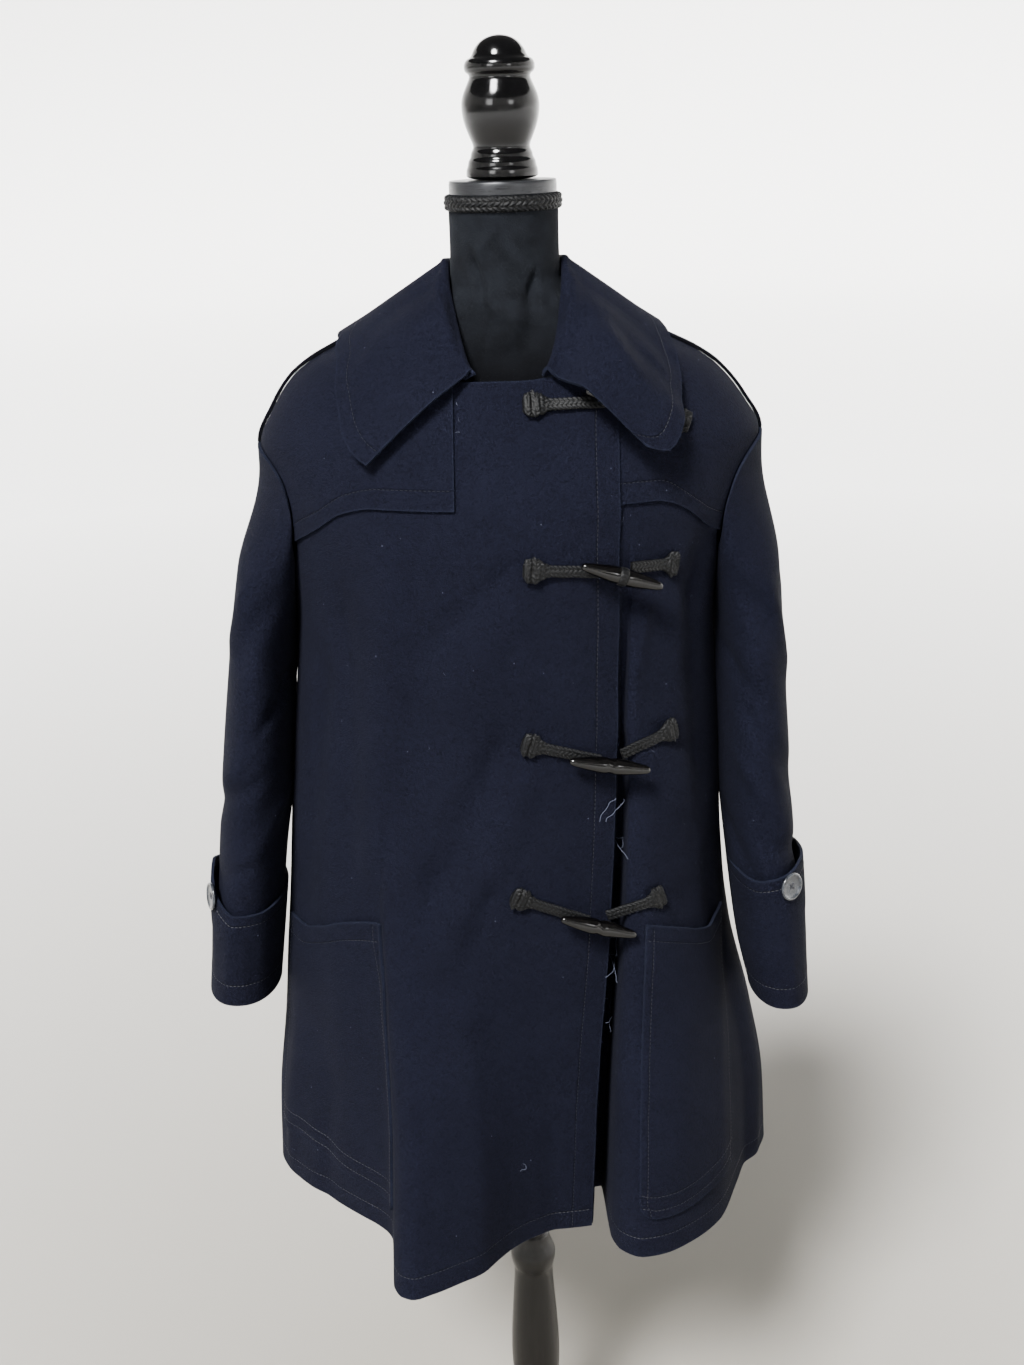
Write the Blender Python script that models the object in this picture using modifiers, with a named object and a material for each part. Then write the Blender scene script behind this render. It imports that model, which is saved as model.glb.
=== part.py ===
"""Toggle coat on a limbless dress form.

A wool coat with a wide flat collar, shoulder yokes, patch pockets, turned
cuffs with a buttoned point and four toggle fastenings, worn by a dress form
on a turned post. Metres, +Z up. The front of the coat faces -Y, and the
origin is the middle of the base's flat underside.
"""
import math

import bmesh
import bpy
import numpy as np
from mathutils import Vector

# ---------------------------------------------------------------- sizes
WALL = 0.003            # thickness of the wool cloth
GAP = 0.0003            # clearance between pieces that touch
MITRE_LEAST = 0.70      # the sharpest mitre at a fold, as a cosine
LAYER = WALL + GAP      # how far one layer of cloth lifts the next
HEM_Z = 0.480
SHOULDER_TIP_Z = 1.313
NECK_TOP_Z = 1.5382
TORSO_BOTTOM_Z = 0.790
POST_TOP_Z = TORSO_BOTTOM_Z - GAP
BASE_TOP_Z = 0.0640
COLLAR_LIFT = 0.0080    # underside of the collar above the body's skin
POCKET_GAPE = 0.0026    # how far a pocket's mouth stands off the front
TOGGLE_LENGTH = 0.0790
TOGGLE_RADIUS = 0.0082
CORD_WIDTH = 0.0125
CORD_THICK = 0.0046
BUTTON_RADIUS = 0.0145
BUTTON_THICK = 0.0034

# The coat's section at each height: half its width, its reach in front of
# and behind the form's axis, how far it sits to +X, and how pointed its
# front half is towards the sides (1 is an ellipse).
SECTION_COLUMNS = ("z", "half_width", "front", "back", "shift", "point")
SECTIONS = (
    (0.480, 0.280, 0.150, 0.196, -0.007, 1.25),
    (0.575, 0.274, 0.154, 0.184, -0.007, 1.20),
    (0.670, 0.259, 0.158, 0.172, -0.009, 1.15),
    (0.780, 0.240, 0.163, 0.157, -0.016, 1.08),
    (0.870, 0.229, 0.166, 0.146, -0.017, 1.00),
    (1.000, 0.219, 0.168, 0.133, -0.013, 1.00),
    (1.140, 0.209, 0.167, 0.127, -0.009, 1.00),
    (1.220, 0.219, 0.162, 0.124, -0.006, 1.00),
    (1.270, 0.232, 0.152, 0.117, -0.002, 1.00),
    (1.313, 0.239, 0.138, 0.109, 0.000, 1.00),
    (1.344, 0.224, 0.126, 0.101, -0.001, 1.00),
    (1.372, 0.203, 0.113, 0.094, -0.003, 1.00),
    (1.387, 0.183, 0.105, 0.090, -0.004, 1.00),
    (1.401, 0.156, 0.096, 0.086, -0.005, 1.00),
    (1.416, 0.127, 0.087, 0.080, -0.004, 1.00),
    (1.433, 0.095, 0.074, 0.072, -0.002, 1.00),
    (1.452, 0.066, 0.056, 0.066, 0.000, 1.00),
    (1.462, 0.056, 0.050, 0.062, 0.000, 1.00),
)

# Where each armhole's edge runs, in degrees from the middle of the front.
ARMHOLE_COLUMNS = ("z", "front_angle", "back_angle")
ARMHOLE = (
    (1.1400, 90.0, 90.0),
    (1.1580, 83.0, 97.0),
    (1.1800, 76.0, 104.0),
    (1.2050, 70.0, 110.0),
    (1.2280, 65.5, 113.0),
    (1.2580, 62.0, 116.0),
    (1.2820, 63.5, 114.0),
    (1.3000, 69.0, 109.0),
    (1.3095, 78.5, 101.0),
    (1.3130, 90.0, 90.0),
)

# The neckline's height, by degrees from the middle of the front.
NECKLINE_COLUMNS = ("angle", "z")
NECKLINE = (
    (0.0, 1.380),
    (11.0, 1.381),
    (26.0, 1.409),
    (45.0, 1.433),
    (68.0, 1.446),
    (90.0, 1.450),
    (135.0, 1.457),
    (180.0, 1.460),
)

# Lines that the front panels share, as distances from the axis along X.
FRONT_LINE_COLUMNS = ("z", "pocket_left", "under_edge", "top_edge", "pocket_right")
FRONT_LINES = (
    (0.480, -0.1475, -0.020, 0.063, 0.215),
    (0.650, -0.1410, -0.020, 0.070, 0.214),
    (0.855, -0.1410, -0.020, 0.084, 0.205),
    (1.000, -0.1150, -0.020, 0.090, 0.190),
    (1.220, -0.0530, -0.020, 0.095, 0.165),
    (1.400, -0.0500, -0.020, 0.097, 0.120),
)

# The flutes of the front: how far the skin moves forward at the hem (back if
# negative), by degrees from one of the lines above.
FLUTE_COLUMNS = ("offset", "reach")
FLUTE_AT_POCKET = (
    (-59.5, -0.0130), (-39.0, -0.0137), (-22.4, -0.0116), (-7.0, 0.0020),
    (-2.8, 0.0104), (-0.6, 0.0220), (0.9, 0.0940), (3.0, 0.1060),
    (5.0, 0.1072), (9.4, 0.0950), (16.0, 0.0708), (20.3, 0.0550),
    (23.7, 0.0328), (27.0, 0.0138), (31.0, -0.0016), (37.0, -0.0136), (45.0, -0.0134),
)
FLUTE_AT_EDGE = (
    (-2.0, 0.0), (0.3, 0.0), (1.6, -0.0600), (3.1, -0.0600), (4.3, 0.0260),
    (6.3, 0.0500), (11.5, 0.0690), (17.0, 0.0720), (24.6, 0.0668),
    (33.7, 0.0534), (43.0, 0.0114), (49.0, -0.0096), (75.4, -0.0096),
)
FLUTE_AT_POCKET_TOP = 0.960
FLUTE_AT_EDGE_TOP = 1.260

# Hanging folds of the back: angle and width (to its left and right) in degrees
# at the hem, reach outward at the hem, the height where the fold dies out, and
# how many degrees it has turned by there.
FOLDS = (
    (128.0, 15.0, 15.0, 0.020, 1.050, 0.0),
    (163.0, 11.0, 13.0, 0.030, 1.180, 4.0),
    (203.0, 13.0, 11.0, 0.026, 1.150, -5.0),
    (238.0, 13.0, 13.0, 0.022, 1.060, 0.0),
)

# Sleeves, for the wearer's right arm at -X; "out" is the outer side and "in"
# the inner side, as distances from the axis.
SLEEVE_COLUMNS = ("z", "out", "in", "forward", "half_depth")
SLEEVE_LEFT_OF_VIEW = (
    (0.734, 0.3360, 0.2680, 0.024, 0.056),
    (0.785, 0.3300, 0.2610, 0.022, 0.060),
    (0.870, 0.3195, 0.2500, 0.018, 0.066),
    (0.950, 0.3105, 0.2397, 0.012, 0.072),
    (1.022, 0.3010, 0.2320, 0.008, 0.080),
    (1.109, 0.2882, 0.2264, 0.004, 0.080),
    (1.193, 0.2739, 0.2240, 0.000, 0.076),
    (1.265, 0.2579, 0.2200, 0.000, 0.066),
    (1.313, 0.2390, 0.2180, 0.000, 0.055),
)
SLEEVE_RIGHT_OF_VIEW = (
    (0.720, 0.2990, 0.2440, 0.042, 0.053),
    (0.780, 0.2950, 0.2300, 0.040, 0.058),
    (0.870, 0.2860, 0.2185, 0.032, 0.066),
    (0.950, 0.2805, 0.2108, 0.020, 0.072),
    (1.000, 0.2775, 0.2085, 0.012, 0.078),
    (1.081, 0.2720, 0.2045, 0.004, 0.080),
    (1.177, 0.2650, 0.2076, 0.000, 0.076),
    (1.238, 0.2584, 0.2080, 0.000, 0.068),
    (1.313, 0.2400, 0.2120, 0.000, 0.055),
)

# The collar, from its front corner round to the middle of the back: the
# angle of its seam on the neckline, its roll line, and its outer edge.
COLLAR_COLUMNS = ("seam", "roll_x", "roll_front", "roll_z", "edge", "edge_z", "lift")
COLLAR_LEFT_OF_VIEW = (
    (10.5, 0.0340, 0.1130, 1.3910, 31.5, 1.3090, 0.014),
    (16.0, 0.0400, 0.1050, 1.4000, 35.2, 1.3180, 0.013),
    (24.0, 0.0460, 0.0840, 1.4180, 39.6, 1.3350, 0.011),
    (38.0, 0.0520, 0.0530, 1.4410, 43.5, 1.3570, 0.010),
    (60.0, 0.0565, 0.0275, 1.4630, 54.5, 1.3870, 0.008),
    (75.0, 0.0572, 0.0100, 1.4730, 67.0, 1.3970, 0.008),
    (90.0, 0.0574, -0.0040, 1.4790, 88.0, 1.4060, 0.008),
    (122.0, 0.0490, -0.0330, 1.4770, 125.0, 1.3870, 0.008),
    (151.0, 0.0285, -0.0540, 1.4780, 155.0, 1.3720, 0.008),
    (180.0, 0.0000, -0.0610, 1.4780, 180.0, 1.3660, 0.008),
)
COLLAR_RIGHT_OF_VIEW = (
    (10.5, 0.0350, 0.1150, 1.3900, 27.6, 1.3160, 0.031),
    (16.0, 0.0410, 0.1060, 1.4000, 32.0, 1.3120, 0.032),
    (24.0, 0.0480, 0.0850, 1.4150, 37.2, 1.3270, 0.031),
    (38.0, 0.0530, 0.0530, 1.4400, 43.0, 1.3530, 0.018),
    (60.0, 0.0565, 0.0275, 1.4630, 55.0, 1.3840, 0.009),
    (75.0, 0.0572, 0.0100, 1.4730, 67.5, 1.3970, 0.008),
    (90.0, 0.0574, -0.0040, 1.4790, 88.0, 1.4070, 0.008),
    (122.0, 0.0490, -0.0330, 1.4770, 125.0, 1.3870, 0.008),
    (151.0, 0.0285, -0.0540, 1.4780, 155.0, 1.3720, 0.008),
    (180.0, 0.0000, -0.0610, 1.4780, 180.0, 1.3660, 0.008),
)

# The dress form's own section, where the coat does not rest on it.
FORM_COLUMNS = ("z", "half_width", "front", "back")
FORM_SECTIONS = (
    (0.790, 0.148, 0.094, 0.104),
    (0.800, 0.160, 0.103, 0.112),
    (0.860, 0.163, 0.106, 0.114),
    (0.940, 0.146, 0.098, 0.098),
    (1.010, 0.126, 0.092, 0.082),
    (1.100, 0.136, 0.104, 0.086),
    (1.190, 0.158, 0.122, 0.096),
    (1.260, 0.172, 0.120, 0.098),
    (1.320, 0.182, 0.104, 0.092),
    (1.365, 0.178, 0.086, 0.084),
    (1.400, 0.140, 0.072, 0.074),
    (1.425, 0.090, 0.062, 0.064),
    (1.445, 0.060, 0.056, 0.057),
    (1.465, 0.0522, 0.0525, 0.0525),
    (1.500, 0.0512, 0.0512, 0.0512),
    (1.5382, 0.0515, 0.0515, 0.0515),
)

# The fastenings, top to bottom: the knot of the toggle's cord, the knot of
# the loop's cord, and the two ends of the toggle, each as X and height; and
# how far the toggle is moved out from its cord to lie just clear of it.
FROG_COLUMNS = (
    "knot_x", "knot_z", "loop_x", "loop_z", "tip1_x", "tip1_z", "tip2_x", "tip2_z", "seat",
)
FROGS = (
    (0.0115, 1.3600, 0.1620, 1.3330, 0.0680, 1.3660, 0.1425, 1.3445, -0.0007),
    (0.0075, 1.2210, 0.1510, 1.2100, 0.0600, 1.2245, 0.1347, 1.1990, 0.0003),
    (0.0020, 1.0570, 0.1500, 1.0510, 0.0446, 1.0395, 0.1244, 1.0225, 0.0003),
    (-0.0120, 0.8980, 0.1370, 0.8860, 0.0324, 0.8765, 0.1122, 0.8485, 0.0002),
)

# Turned profiles, top to bottom: radius and height.
FINIAL_PROFILE = (
    (0.0000, 1.6752), (0.0095, 1.6738), (0.0175, 1.6695), (0.0232, 1.6625),
    (0.0256, 1.6560), (0.0300, 1.6545), (0.0325, 1.6500), (0.0322, 1.6440),
    (0.0270, 1.6405), (0.0305, 1.6330), (0.0350, 1.6230), (0.0362, 1.6140),
    (0.0345, 1.6010), (0.0300, 1.5890), (0.0256, 1.5795), (0.0285, 1.5740),
    (0.0290, 1.5700), (0.0312, 1.5670), (0.0318, 1.5625), (0.0334, 1.5590),
    (0.0334, 1.5505), (0.0000, 1.5505),
)
POST_PROFILE = (
    (0.0000, POST_TOP_Z), (0.0160, POST_TOP_Z), (0.0160, 0.4200), (0.0185, 0.4100),
    (0.0160, 0.4000), (0.0160, 0.3830), (0.0192, 0.3790), (0.0192, 0.3745),
    (0.0160, 0.3715), (0.0195, 0.3680), (0.0195, 0.3640), (0.0215, 0.3560),
    (0.0262, 0.3450), (0.0264, 0.3370), (0.0245, 0.3270), (0.0218, 0.3190),
    (0.0250, 0.2750), (0.0285, 0.2200), (0.0288, 0.1850), (0.0255, 0.1350),
    (0.0205, 0.1000), (0.0190, 0.0850), (0.0240, 0.0780), (0.0240, 0.0700),
    (0.0200, BASE_TOP_Z + GAP), (0.0000, BASE_TOP_Z + GAP),
)
BASE_PROFILE = (
    (0.0000, BASE_TOP_Z), (0.0320, BASE_TOP_Z), (0.0420, 0.0580), (0.0520, 0.0460),
    (0.0800, 0.0370), (0.1200, 0.0310), (0.1480, 0.0270), (0.1530, 0.0225),
    (0.1580, 0.0200), (0.1600, 0.0140), (0.1600, 0.0030), (0.1570, 0.0000),
    (0.0000, 0.0000),
)
PLATE_PROFILE = (
    (0.0000, 1.5502), (0.0490, 1.5502), (0.0502, 1.5490), (0.0502, 1.5388),
    (0.0498, 1.5385), (0.0000, 1.5385),
)
TURNED_SIDES = 16


# ---------------------------------------------------------------- tables
def column(table, names, name):
    return np.array([row[names.index(name)] for row in table], float)


def smooth(x, xs, ys):
    """A smooth curve through a table's points that does not overshoot them."""
    x = np.clip(np.asarray(x, float), xs[0], xs[-1])
    steps = np.diff(xs)
    slopes = np.diff(ys) / steps
    tangent = np.zeros(len(xs))
    tangent[0] = slopes[0]
    tangent[-1] = slopes[-1]
    same_way = slopes[:-1] * slopes[1:] > 0
    both = np.where(same_way, slopes[:-1] * slopes[1:], 0.0)
    total = np.where(same_way, slopes[:-1] + slopes[1:], 1.0)
    tangent[1:-1] = 2 * both / total
    i = np.clip(np.searchsorted(xs, x, side="right") - 1, 0, len(xs) - 2)
    h = steps[i]
    u = (x - xs[i]) / h
    return (
        ys[i] * (1 + 2 * u) * (1 - u) ** 2
        + ys[i + 1] * u * u * (3 - 2 * u)
        + h * tangent[i] * u * (1 - u) ** 2
        + h * tangent[i + 1] * u * u * (u - 1)
    )


def ease(low, high, x):
    u = np.clip((np.asarray(x, float) - low) / (high - low), 0.0, 1.0)
    return u * u * (3 - 2 * u)


def read_table(table, names, key, z):
    return smooth(z, column(table, names, names[0]), column(table, names, key))


def section(key, z):
    return read_table(SECTIONS, SECTION_COLUMNS, key, z)


def front_line(key, z):
    return read_table(FRONT_LINES, FRONT_LINE_COLUMNS, key, z)


# ---------------------------------------------------------------- the body's skin
def angle_at(x, z):
    """Degrees from the middle of the front where the skin has this X."""
    ratio = (x - section("shift", z)) / section("half_width", z)
    return np.degrees(np.arcsin(np.clip(ratio, -1.0, 1.0)))


def flute_reach(angle, z):
    """How far the front's flutes move the skin forward."""
    total = np.zeros(np.broadcast(angle, z).shape)
    flutes = (
        ("pocket_left", FLUTE_AT_POCKET, FLUTE_AT_POCKET_TOP),
        ("top_edge", FLUTE_AT_EDGE, FLUTE_AT_EDGE_TOP),
    )
    for line, table, top in flutes:
        offset = angle - angle_at(front_line(line, z), z)
        rise = np.clip((z - HEM_Z) / (top - HEM_Z), 0.0, 1.0)
        reach = read_table(table, FLUTE_COLUMNS, "reach", offset)
        total = total + reach * (1 - rise) ** 1.3
    return total * ease(128.0, 92.0, np.abs(angle))


def fold_reach(angle, z):
    """How far the back's hanging folds move the skin outward."""
    total = np.zeros(np.broadcast(angle, z).shape)
    for centre, left, right, reach, top, turn in FOLDS:
        rise = np.clip((z - HEM_Z) / (top - HEM_Z), 0.0, 1.0)
        away = (angle - centre - turn * rise + 180.0) % 360.0 - 180.0
        width = np.where(away < 0, left, right) * (1 + 0.5 * rise)
        total = total + reach * (1 - rise) ** 1.3 * np.exp(-(away / width) ** 2)
    return total


def plain_skin(angle, z):
    """A point of the body's smooth outer face, with no folds."""
    t = np.radians(angle)
    side = np.cos(t)
    depth = np.where(
        side >= 0,
        section("front", z) * np.abs(side) ** section("point", z),
        -section("back", z) * np.abs(side),
    )
    x = section("shift", z) + section("half_width", z) * np.sin(t)
    return np.stack(np.broadcast_arrays(x, -depth, z), -1)


def signed(angle):
    return (np.asarray(angle, float) + 180.0) % 360.0 - 180.0


def skin(angle, z, lift=0.0):
    """A point of the body's outer face, or of a layer that lies off it."""
    angle = np.asarray(angle, float)
    z = np.asarray(z, float)

    def bare(a, h):
        point = plain_skin(a, h)
        out = point - np.stack(np.broadcast_arrays(section("shift", h), 0.0, h), -1)
        out = out / np.linalg.norm(out, axis=-1, keepdims=True)
        forward = np.array([0.0, -1.0, 0.0]) * flute_reach(signed(a), h)[..., None]
        return point + out * fold_reach(a, h)[..., None] + forward

    point = bare(angle, z)
    turn, rise = 0.8, 0.004
    across = bare(angle + turn, z) - bare(angle - turn, z)
    up = bare(angle, np.minimum(z + rise, 1.462)) - bare(angle, z - rise)
    normal = np.cross(across, up)
    normal /= np.linalg.norm(normal, axis=-1, keepdims=True)
    return point + normal * np.asarray(lift, float)[..., None]


def front_point(x, z, lift):
    return skin(angle_at(x, z), np.asarray(z, float), lift)


# ---------------------------------------------------------------- mesh making
def make_material(name, colour, roughness, metallic=0.0):
    material = bpy.data.materials.new(name)
    material.use_nodes = True
    shader = material.node_tree.nodes["Principled BSDF"]
    shader.inputs["Base Color"].default_value = (*colour, 1.0)
    shader.inputs["Roughness"].default_value = roughness
    shader.inputs["Metallic"].default_value = metallic
    return material


def add_piece(name, mesh, material, smooth_angle=40.0):
    mesh.materials.append(material)
    mesh.shade_smooth()
    mesh.set_sharp_from_angle(angle=math.radians(smooth_angle))
    piece = bpy.data.objects.new(name, mesh)
    bpy.data.collections["Toggle coat"].objects.link(piece)
    return piece


def mesh_from_faces(name, points, faces):
    """A closed mesh of triangles, with its faces turned outward."""
    points = np.asarray(points, float)
    faces = np.asarray(faces, int)
    corners = points[faces]
    volume = np.einsum("ij,ij->i", corners[:, 0], np.cross(corners[:, 1], corners[:, 2])).sum()
    if volume < 0:
        faces = faces[:, ::-1]
    mesh = bpy.data.meshes.new(name)
    mesh.from_pydata(points.tolist(), [], faces.tolist())
    mesh.update()
    return mesh


def grid_faces(rows, cols, start, wrap, angles=None):
    """Two triangles a cell, split along the diagonal that leans least in angle."""
    faces = []
    for i in range(rows - 1):
        for j in range(cols if wrap else cols - 1):
            k = (j + 1) % cols
            a, b = start + i * cols + j, start + i * cols + k
            c, d = start + (i + 1) * cols + k, start + (i + 1) * cols + j
            rising = True
            if angles is not None:
                rising = abs(angles[i + 1, k] - angles[i, j]) <= abs(angles[i + 1, j] - angles[i, k])
            faces += [(a, b, c), (a, c, d)] if rising else [(a, b, d), (b, c, d)]
    return faces


def strip_faces(outer, inner):
    faces = []
    for k in range(len(outer) - 1):
        a, b, c, d = outer[k], outer[k + 1], inner[k + 1], inner[k]
        faces += [(b, a, d), (b, d, c)]
    return faces


def cloth_wall(name, outer, inner, material, wrap=False, angles=None):
    """A closed wall of cloth between two grids of points, rows by columns."""
    rows, cols = outer.shape[:2]
    size = rows * cols
    faces = grid_faces(rows, cols, 0, wrap, angles)
    faces += [face[::-1] for face in grid_faces(rows, cols, size, wrap, angles)]
    low = list(range(cols)) + ([0] if wrap else [])
    high = [(rows - 1) * cols + j for j in low]
    faces += strip_faces(low, [j + size for j in low])
    faces += [face[::-1] for face in strip_faces(high, [j + size for j in high])]
    if not wrap:
        left = [i * cols for i in range(rows)]
        right = [i * cols + cols - 1 for i in range(rows)]
        faces += [face[::-1] for face in strip_faces(left, [i + size for i in left])]
        faces += strip_faces(right, [i + size for i in right])
    points = np.concatenate([outer.reshape(-1, 3), inner.reshape(-1, 3)])
    return add_piece(name, mesh_from_faces(name, points, faces), material)


def loft(name, rings, material):
    """A closed solid through rings of points, with its two ends capped."""
    rings = np.asarray(rings, float)
    count, sides = rings.shape[:2]
    points = np.concatenate([rings.reshape(-1, 3), rings[[0, -1]].mean(axis=1)])
    faces = grid_faces(count, sides, 0, True)
    first, last = count * sides, count * sides + 1
    for j in range(sides):
        k = (j + 1) % sides
        faces.append((first, k, j))
        faces.append((last, (count - 1) * sides + j, (count - 1) * sides + k))
    return add_piece(name, mesh_from_faces(name, points, faces), material)


def turned(name, profile, material, sides=TURNED_SIDES):
    """A turned piece: its profile runs down the outer side and is closed on the axis."""
    mesh = bpy.data.meshes.new(name)
    points = [(radius, 0.0, z) for radius, z in profile]
    mesh.from_pydata(points, [(i, i + 1) for i in range(len(points) - 1)], [])
    piece = add_piece(name, mesh, material)
    screw = piece.modifiers.new("Turn", "SCREW")
    screw.axis = "Z"
    screw.angle = math.tau
    screw.steps = sides
    screw.render_steps = sides
    screw.use_merge_vertices = True
    screw.merge_threshold = 0.00005
    screw.use_smooth_shade = True
    return piece


# ---------------------------------------------------------------- the grid of the body
# Rows of the body's grid, bottom to top: height at the middle of the front
# and at the side. Pockets, yokes and armholes begin and end on rows.
ROWS = (
    (HEM_Z, HEM_Z),
    (0.526, 0.548),
    (0.610, 0.620),
    (0.692, 0.690),
    (0.775, 0.755),
    (0.857, 0.816),
    (0.930, 0.900),
    (1.010, 0.985),
    (1.090, 1.065),
)
ROW_POCKET_BOTTOM = 1
ROW_POCKET_TOP = 5
# Heights at the middle of the front for the rows that meet the armhole.
ARMHOLE_ROWS_MIDDLE = (1.150, 1.180, 1.210, 1.240, 1.272, 1.296, 1.312, 1.324, 1.333, 1.340)
SHOULDER_ROWS = 5
FIRST_ARMHOLE_ROW = len(ROWS)
LAST_ARMHOLE_ROW = FIRST_ARMHOLE_ROW + len(ARMHOLE) - 1
ROW_YOKE = FIRST_ARMHOLE_ROW + 4
ROW_COUNT = LAST_ARMHOLE_ROW + 1 + SHOULDER_ROWS + 1

# Columns of the front, from the side at -X to the side at +X.
POCKET_LEFT_OUTER, POCKET_LEFT_INNER = 1, 5
UNDER_EDGE, TOP_EDGE = 10, 14
POCKET_RIGHT_INNER, POCKET_RIGHT_OUTER = 18, 22
FRONT_COLUMNS_COUNT = 25
TOP_EDGE_MOST = 44.0    # degrees: the top front's edge under the collar
# Shares of the way from the pocket at -X to the under front's edge where the
# columns lie, at the hem and above the flute; and degrees past the top edge.
FLUTE_SHARES = (0.045, 0.16, 0.42, 0.72)
EVEN_SHARES = (0.20, 0.40, 0.60, 0.80)
EDGE_OFFSETS = (1.6, 3.1, 4.3)
BACK_COLUMNS_COUNT = 17


def row_heights(row):
    """Height of a row at the middle of the front and at the side."""
    if row < FIRST_ARMHOLE_ROW:
        return ROWS[row]
    if row <= LAST_ARMHOLE_ROW:
        k = row - FIRST_ARMHOLE_ROW
        return ARMHOLE_ROWS_MIDDLE[k], ARMHOLE[k][0]
    return ARMHOLE_ROWS_MIDDLE[-1], SHOULDER_TIP_Z


def neckline_height(angle):
    away = abs((angle + 180.0) % 360.0 - 180.0)
    return float(read_table(NECKLINE, NECKLINE_COLUMNS, "z", away))


def row_height(row, angle):
    """Height of a row at an angle; the last row is the neckline."""
    if row == ROW_COUNT - 1:
        return neckline_height(angle)
    middle, side = row_heights(row)
    away = abs((angle + 180.0) % 360.0 - 180.0)
    turned_to_side = float(ease(33.0, 68.0, away))
    height = middle + (side - middle) * turned_to_side
    if row > LAST_ARMHOLE_ROW:
        top = neckline_height(angle)
        below = SHOULDER_TIP_Z + (ARMHOLE_ROWS_MIDDLE[-1] - SHOULDER_TIP_Z) * (1 - turned_to_side)
        share = (row - LAST_ARMHOLE_ROW) / (ROW_COUNT - 1 - LAST_ARMHOLE_ROW)
        bend = share ** (1.0 - 0.22 * turned_to_side)
        height = below + (top - below) * bend
    return height


def side_angle(row, key):
    """Where a row ends: at the side seam, the armhole or the shoulder seam."""
    if FIRST_ARMHOLE_ROW <= row <= LAST_ARMHOLE_ROW:
        return ARMHOLE[row - FIRST_ARMHOLE_ROW][ARMHOLE_COLUMNS.index(key)]
    return 90.0


def front_angle(row, column_index, z):
    """The angle of a column of the front's grid in a row, at this height."""
    side = side_angle(row, "front_angle")
    edge = min(float(angle_at(front_line("top_edge", z), z)), TOP_EDGE_MOST)
    inner = float(angle_at(front_line("pocket_left", z), z))
    under = float(angle_at(front_line("under_edge", z), z))
    outer = float(angle_at(front_line("pocket_right", z), z))
    anchors = {
        0: -side,
        POCKET_LEFT_OUTER: -side + 14.0,
        POCKET_LEFT_INNER: inner,
        UNDER_EDGE: under,
        TOP_EDGE: edge,
        TOP_EDGE + 1: edge + EDGE_OFFSETS[0],
        TOP_EDGE + 2: edge + EDGE_OFFSETS[1],
        TOP_EDGE + 3: edge + EDGE_OFFSETS[2],
        POCKET_RIGHT_INNER: edge + 10.0,
        POCKET_RIGHT_OUTER: max(min(outer, side - 6.0), edge + 16.0),
        FRONT_COLUMNS_COUNT - 1: side,
    }
    low = float(ease(0.95, 0.60, z))
    for k, (flute, even) in enumerate(zip(FLUTE_SHARES, EVEN_SHARES), start=1):
        share = even + (flute - even) * low
        anchors[POCKET_LEFT_INNER + k] = inner + (under - inner) * share
    keys = sorted(anchors)
    return float(np.interp(column_index, keys, [anchors[key] for key in keys]))


def settle(row, find_angle):
    """An angle and a height that agree, since each depends on the other."""
    z = row_heights(min(row, ROW_COUNT - 2))[0]
    for _ in range(12):
        angle = find_angle(z)
        z = 0.5 * z + 0.5 * row_height(row, angle)
    return find_angle(z), z


def front_grid(first, last):
    """Angles and heights of the front's grid between two columns."""
    cells = [
        [settle(row, lambda z, r=row, c=c: front_angle(r, c, z)) for c in range(first, last + 1)]
        for row in range(ROW_COUNT)
    ]
    return np.array(cells).transpose(2, 0, 1)


def back_grid():
    cells = []
    for row in range(ROW_COUNT):
        start = side_angle(row, "back_angle")
        angles = np.linspace(start, 360.0 - start, BACK_COLUMNS_COUNT)
        cells.append([(angle, row_height(row, angle)) for angle in angles])
    return np.array(cells).transpose(2, 0, 1)


def outward(base, normal):
    """Directions to lift the front's grid by: mitred where a flute bends it sharply."""
    along = np.diff(base[..., :2], axis=1)
    along /= np.linalg.norm(along, axis=-1, keepdims=True)
    faces = np.stack([along[..., 1], -along[..., 0]], -1)
    both = faces[:, :-1] + faces[:, 1:]
    size = np.linalg.norm(both, axis=-1, keepdims=True)
    cosine = size / 2
    mitre = both / size / np.maximum(cosine, MITRE_LEAST)
    weight = ease(0.97, 0.90, cosine)
    result = normal.copy()
    inside = result[:, 1:-1]
    inside[..., :2] += (mitre - inside[..., :2]) * weight
    inside[..., 2:] *= 1 - weight
    return result


def front_layer(first, last, lift, rows=slice(None)):
    """Points of a layer on part of the front's grid, and the grid's angles there."""
    angle, z = front_grid(0, FRONT_COLUMNS_COUNT - 1)
    base = skin(angle, z)
    normal = skin(angle, z, 1.0) - base
    way = outward(base, normal)
    if last == TOP_EDGE:
        way[:, TOP_EDGE] = normal[:, TOP_EDGE - 1]
    part = (rows, slice(first, last + 1))
    points = base[part] + way[part] * np.asarray(lift, float)[..., None]
    if first == 0:
        seam_shift(points, 0, -1)
    if last == FRONT_COLUMNS_COUNT - 1:
        seam_shift(points, -1, -1)
    return points, angle[part]


def layers_under_top(rows, columns):
    """How many layers of cloth the top front lies over, at each grid point."""
    layers = np.zeros((len(rows), len(columns)))
    for j, c in enumerate(columns):
        if c >= UNDER_EDGE:
            layers[:, j] = 1.0
        for i, row in enumerate(rows):
            if c >= TOP_EDGE - 1 and row >= ROW_YOKE:
                layers[i, j] = 2.0
    return layers


def seam_shift(points, edge_column, way):
    """Draws a side or shoulder edge back from its seam, along Y."""
    points[:, edge_column, 1] += way * 0.0002
    return points


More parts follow.
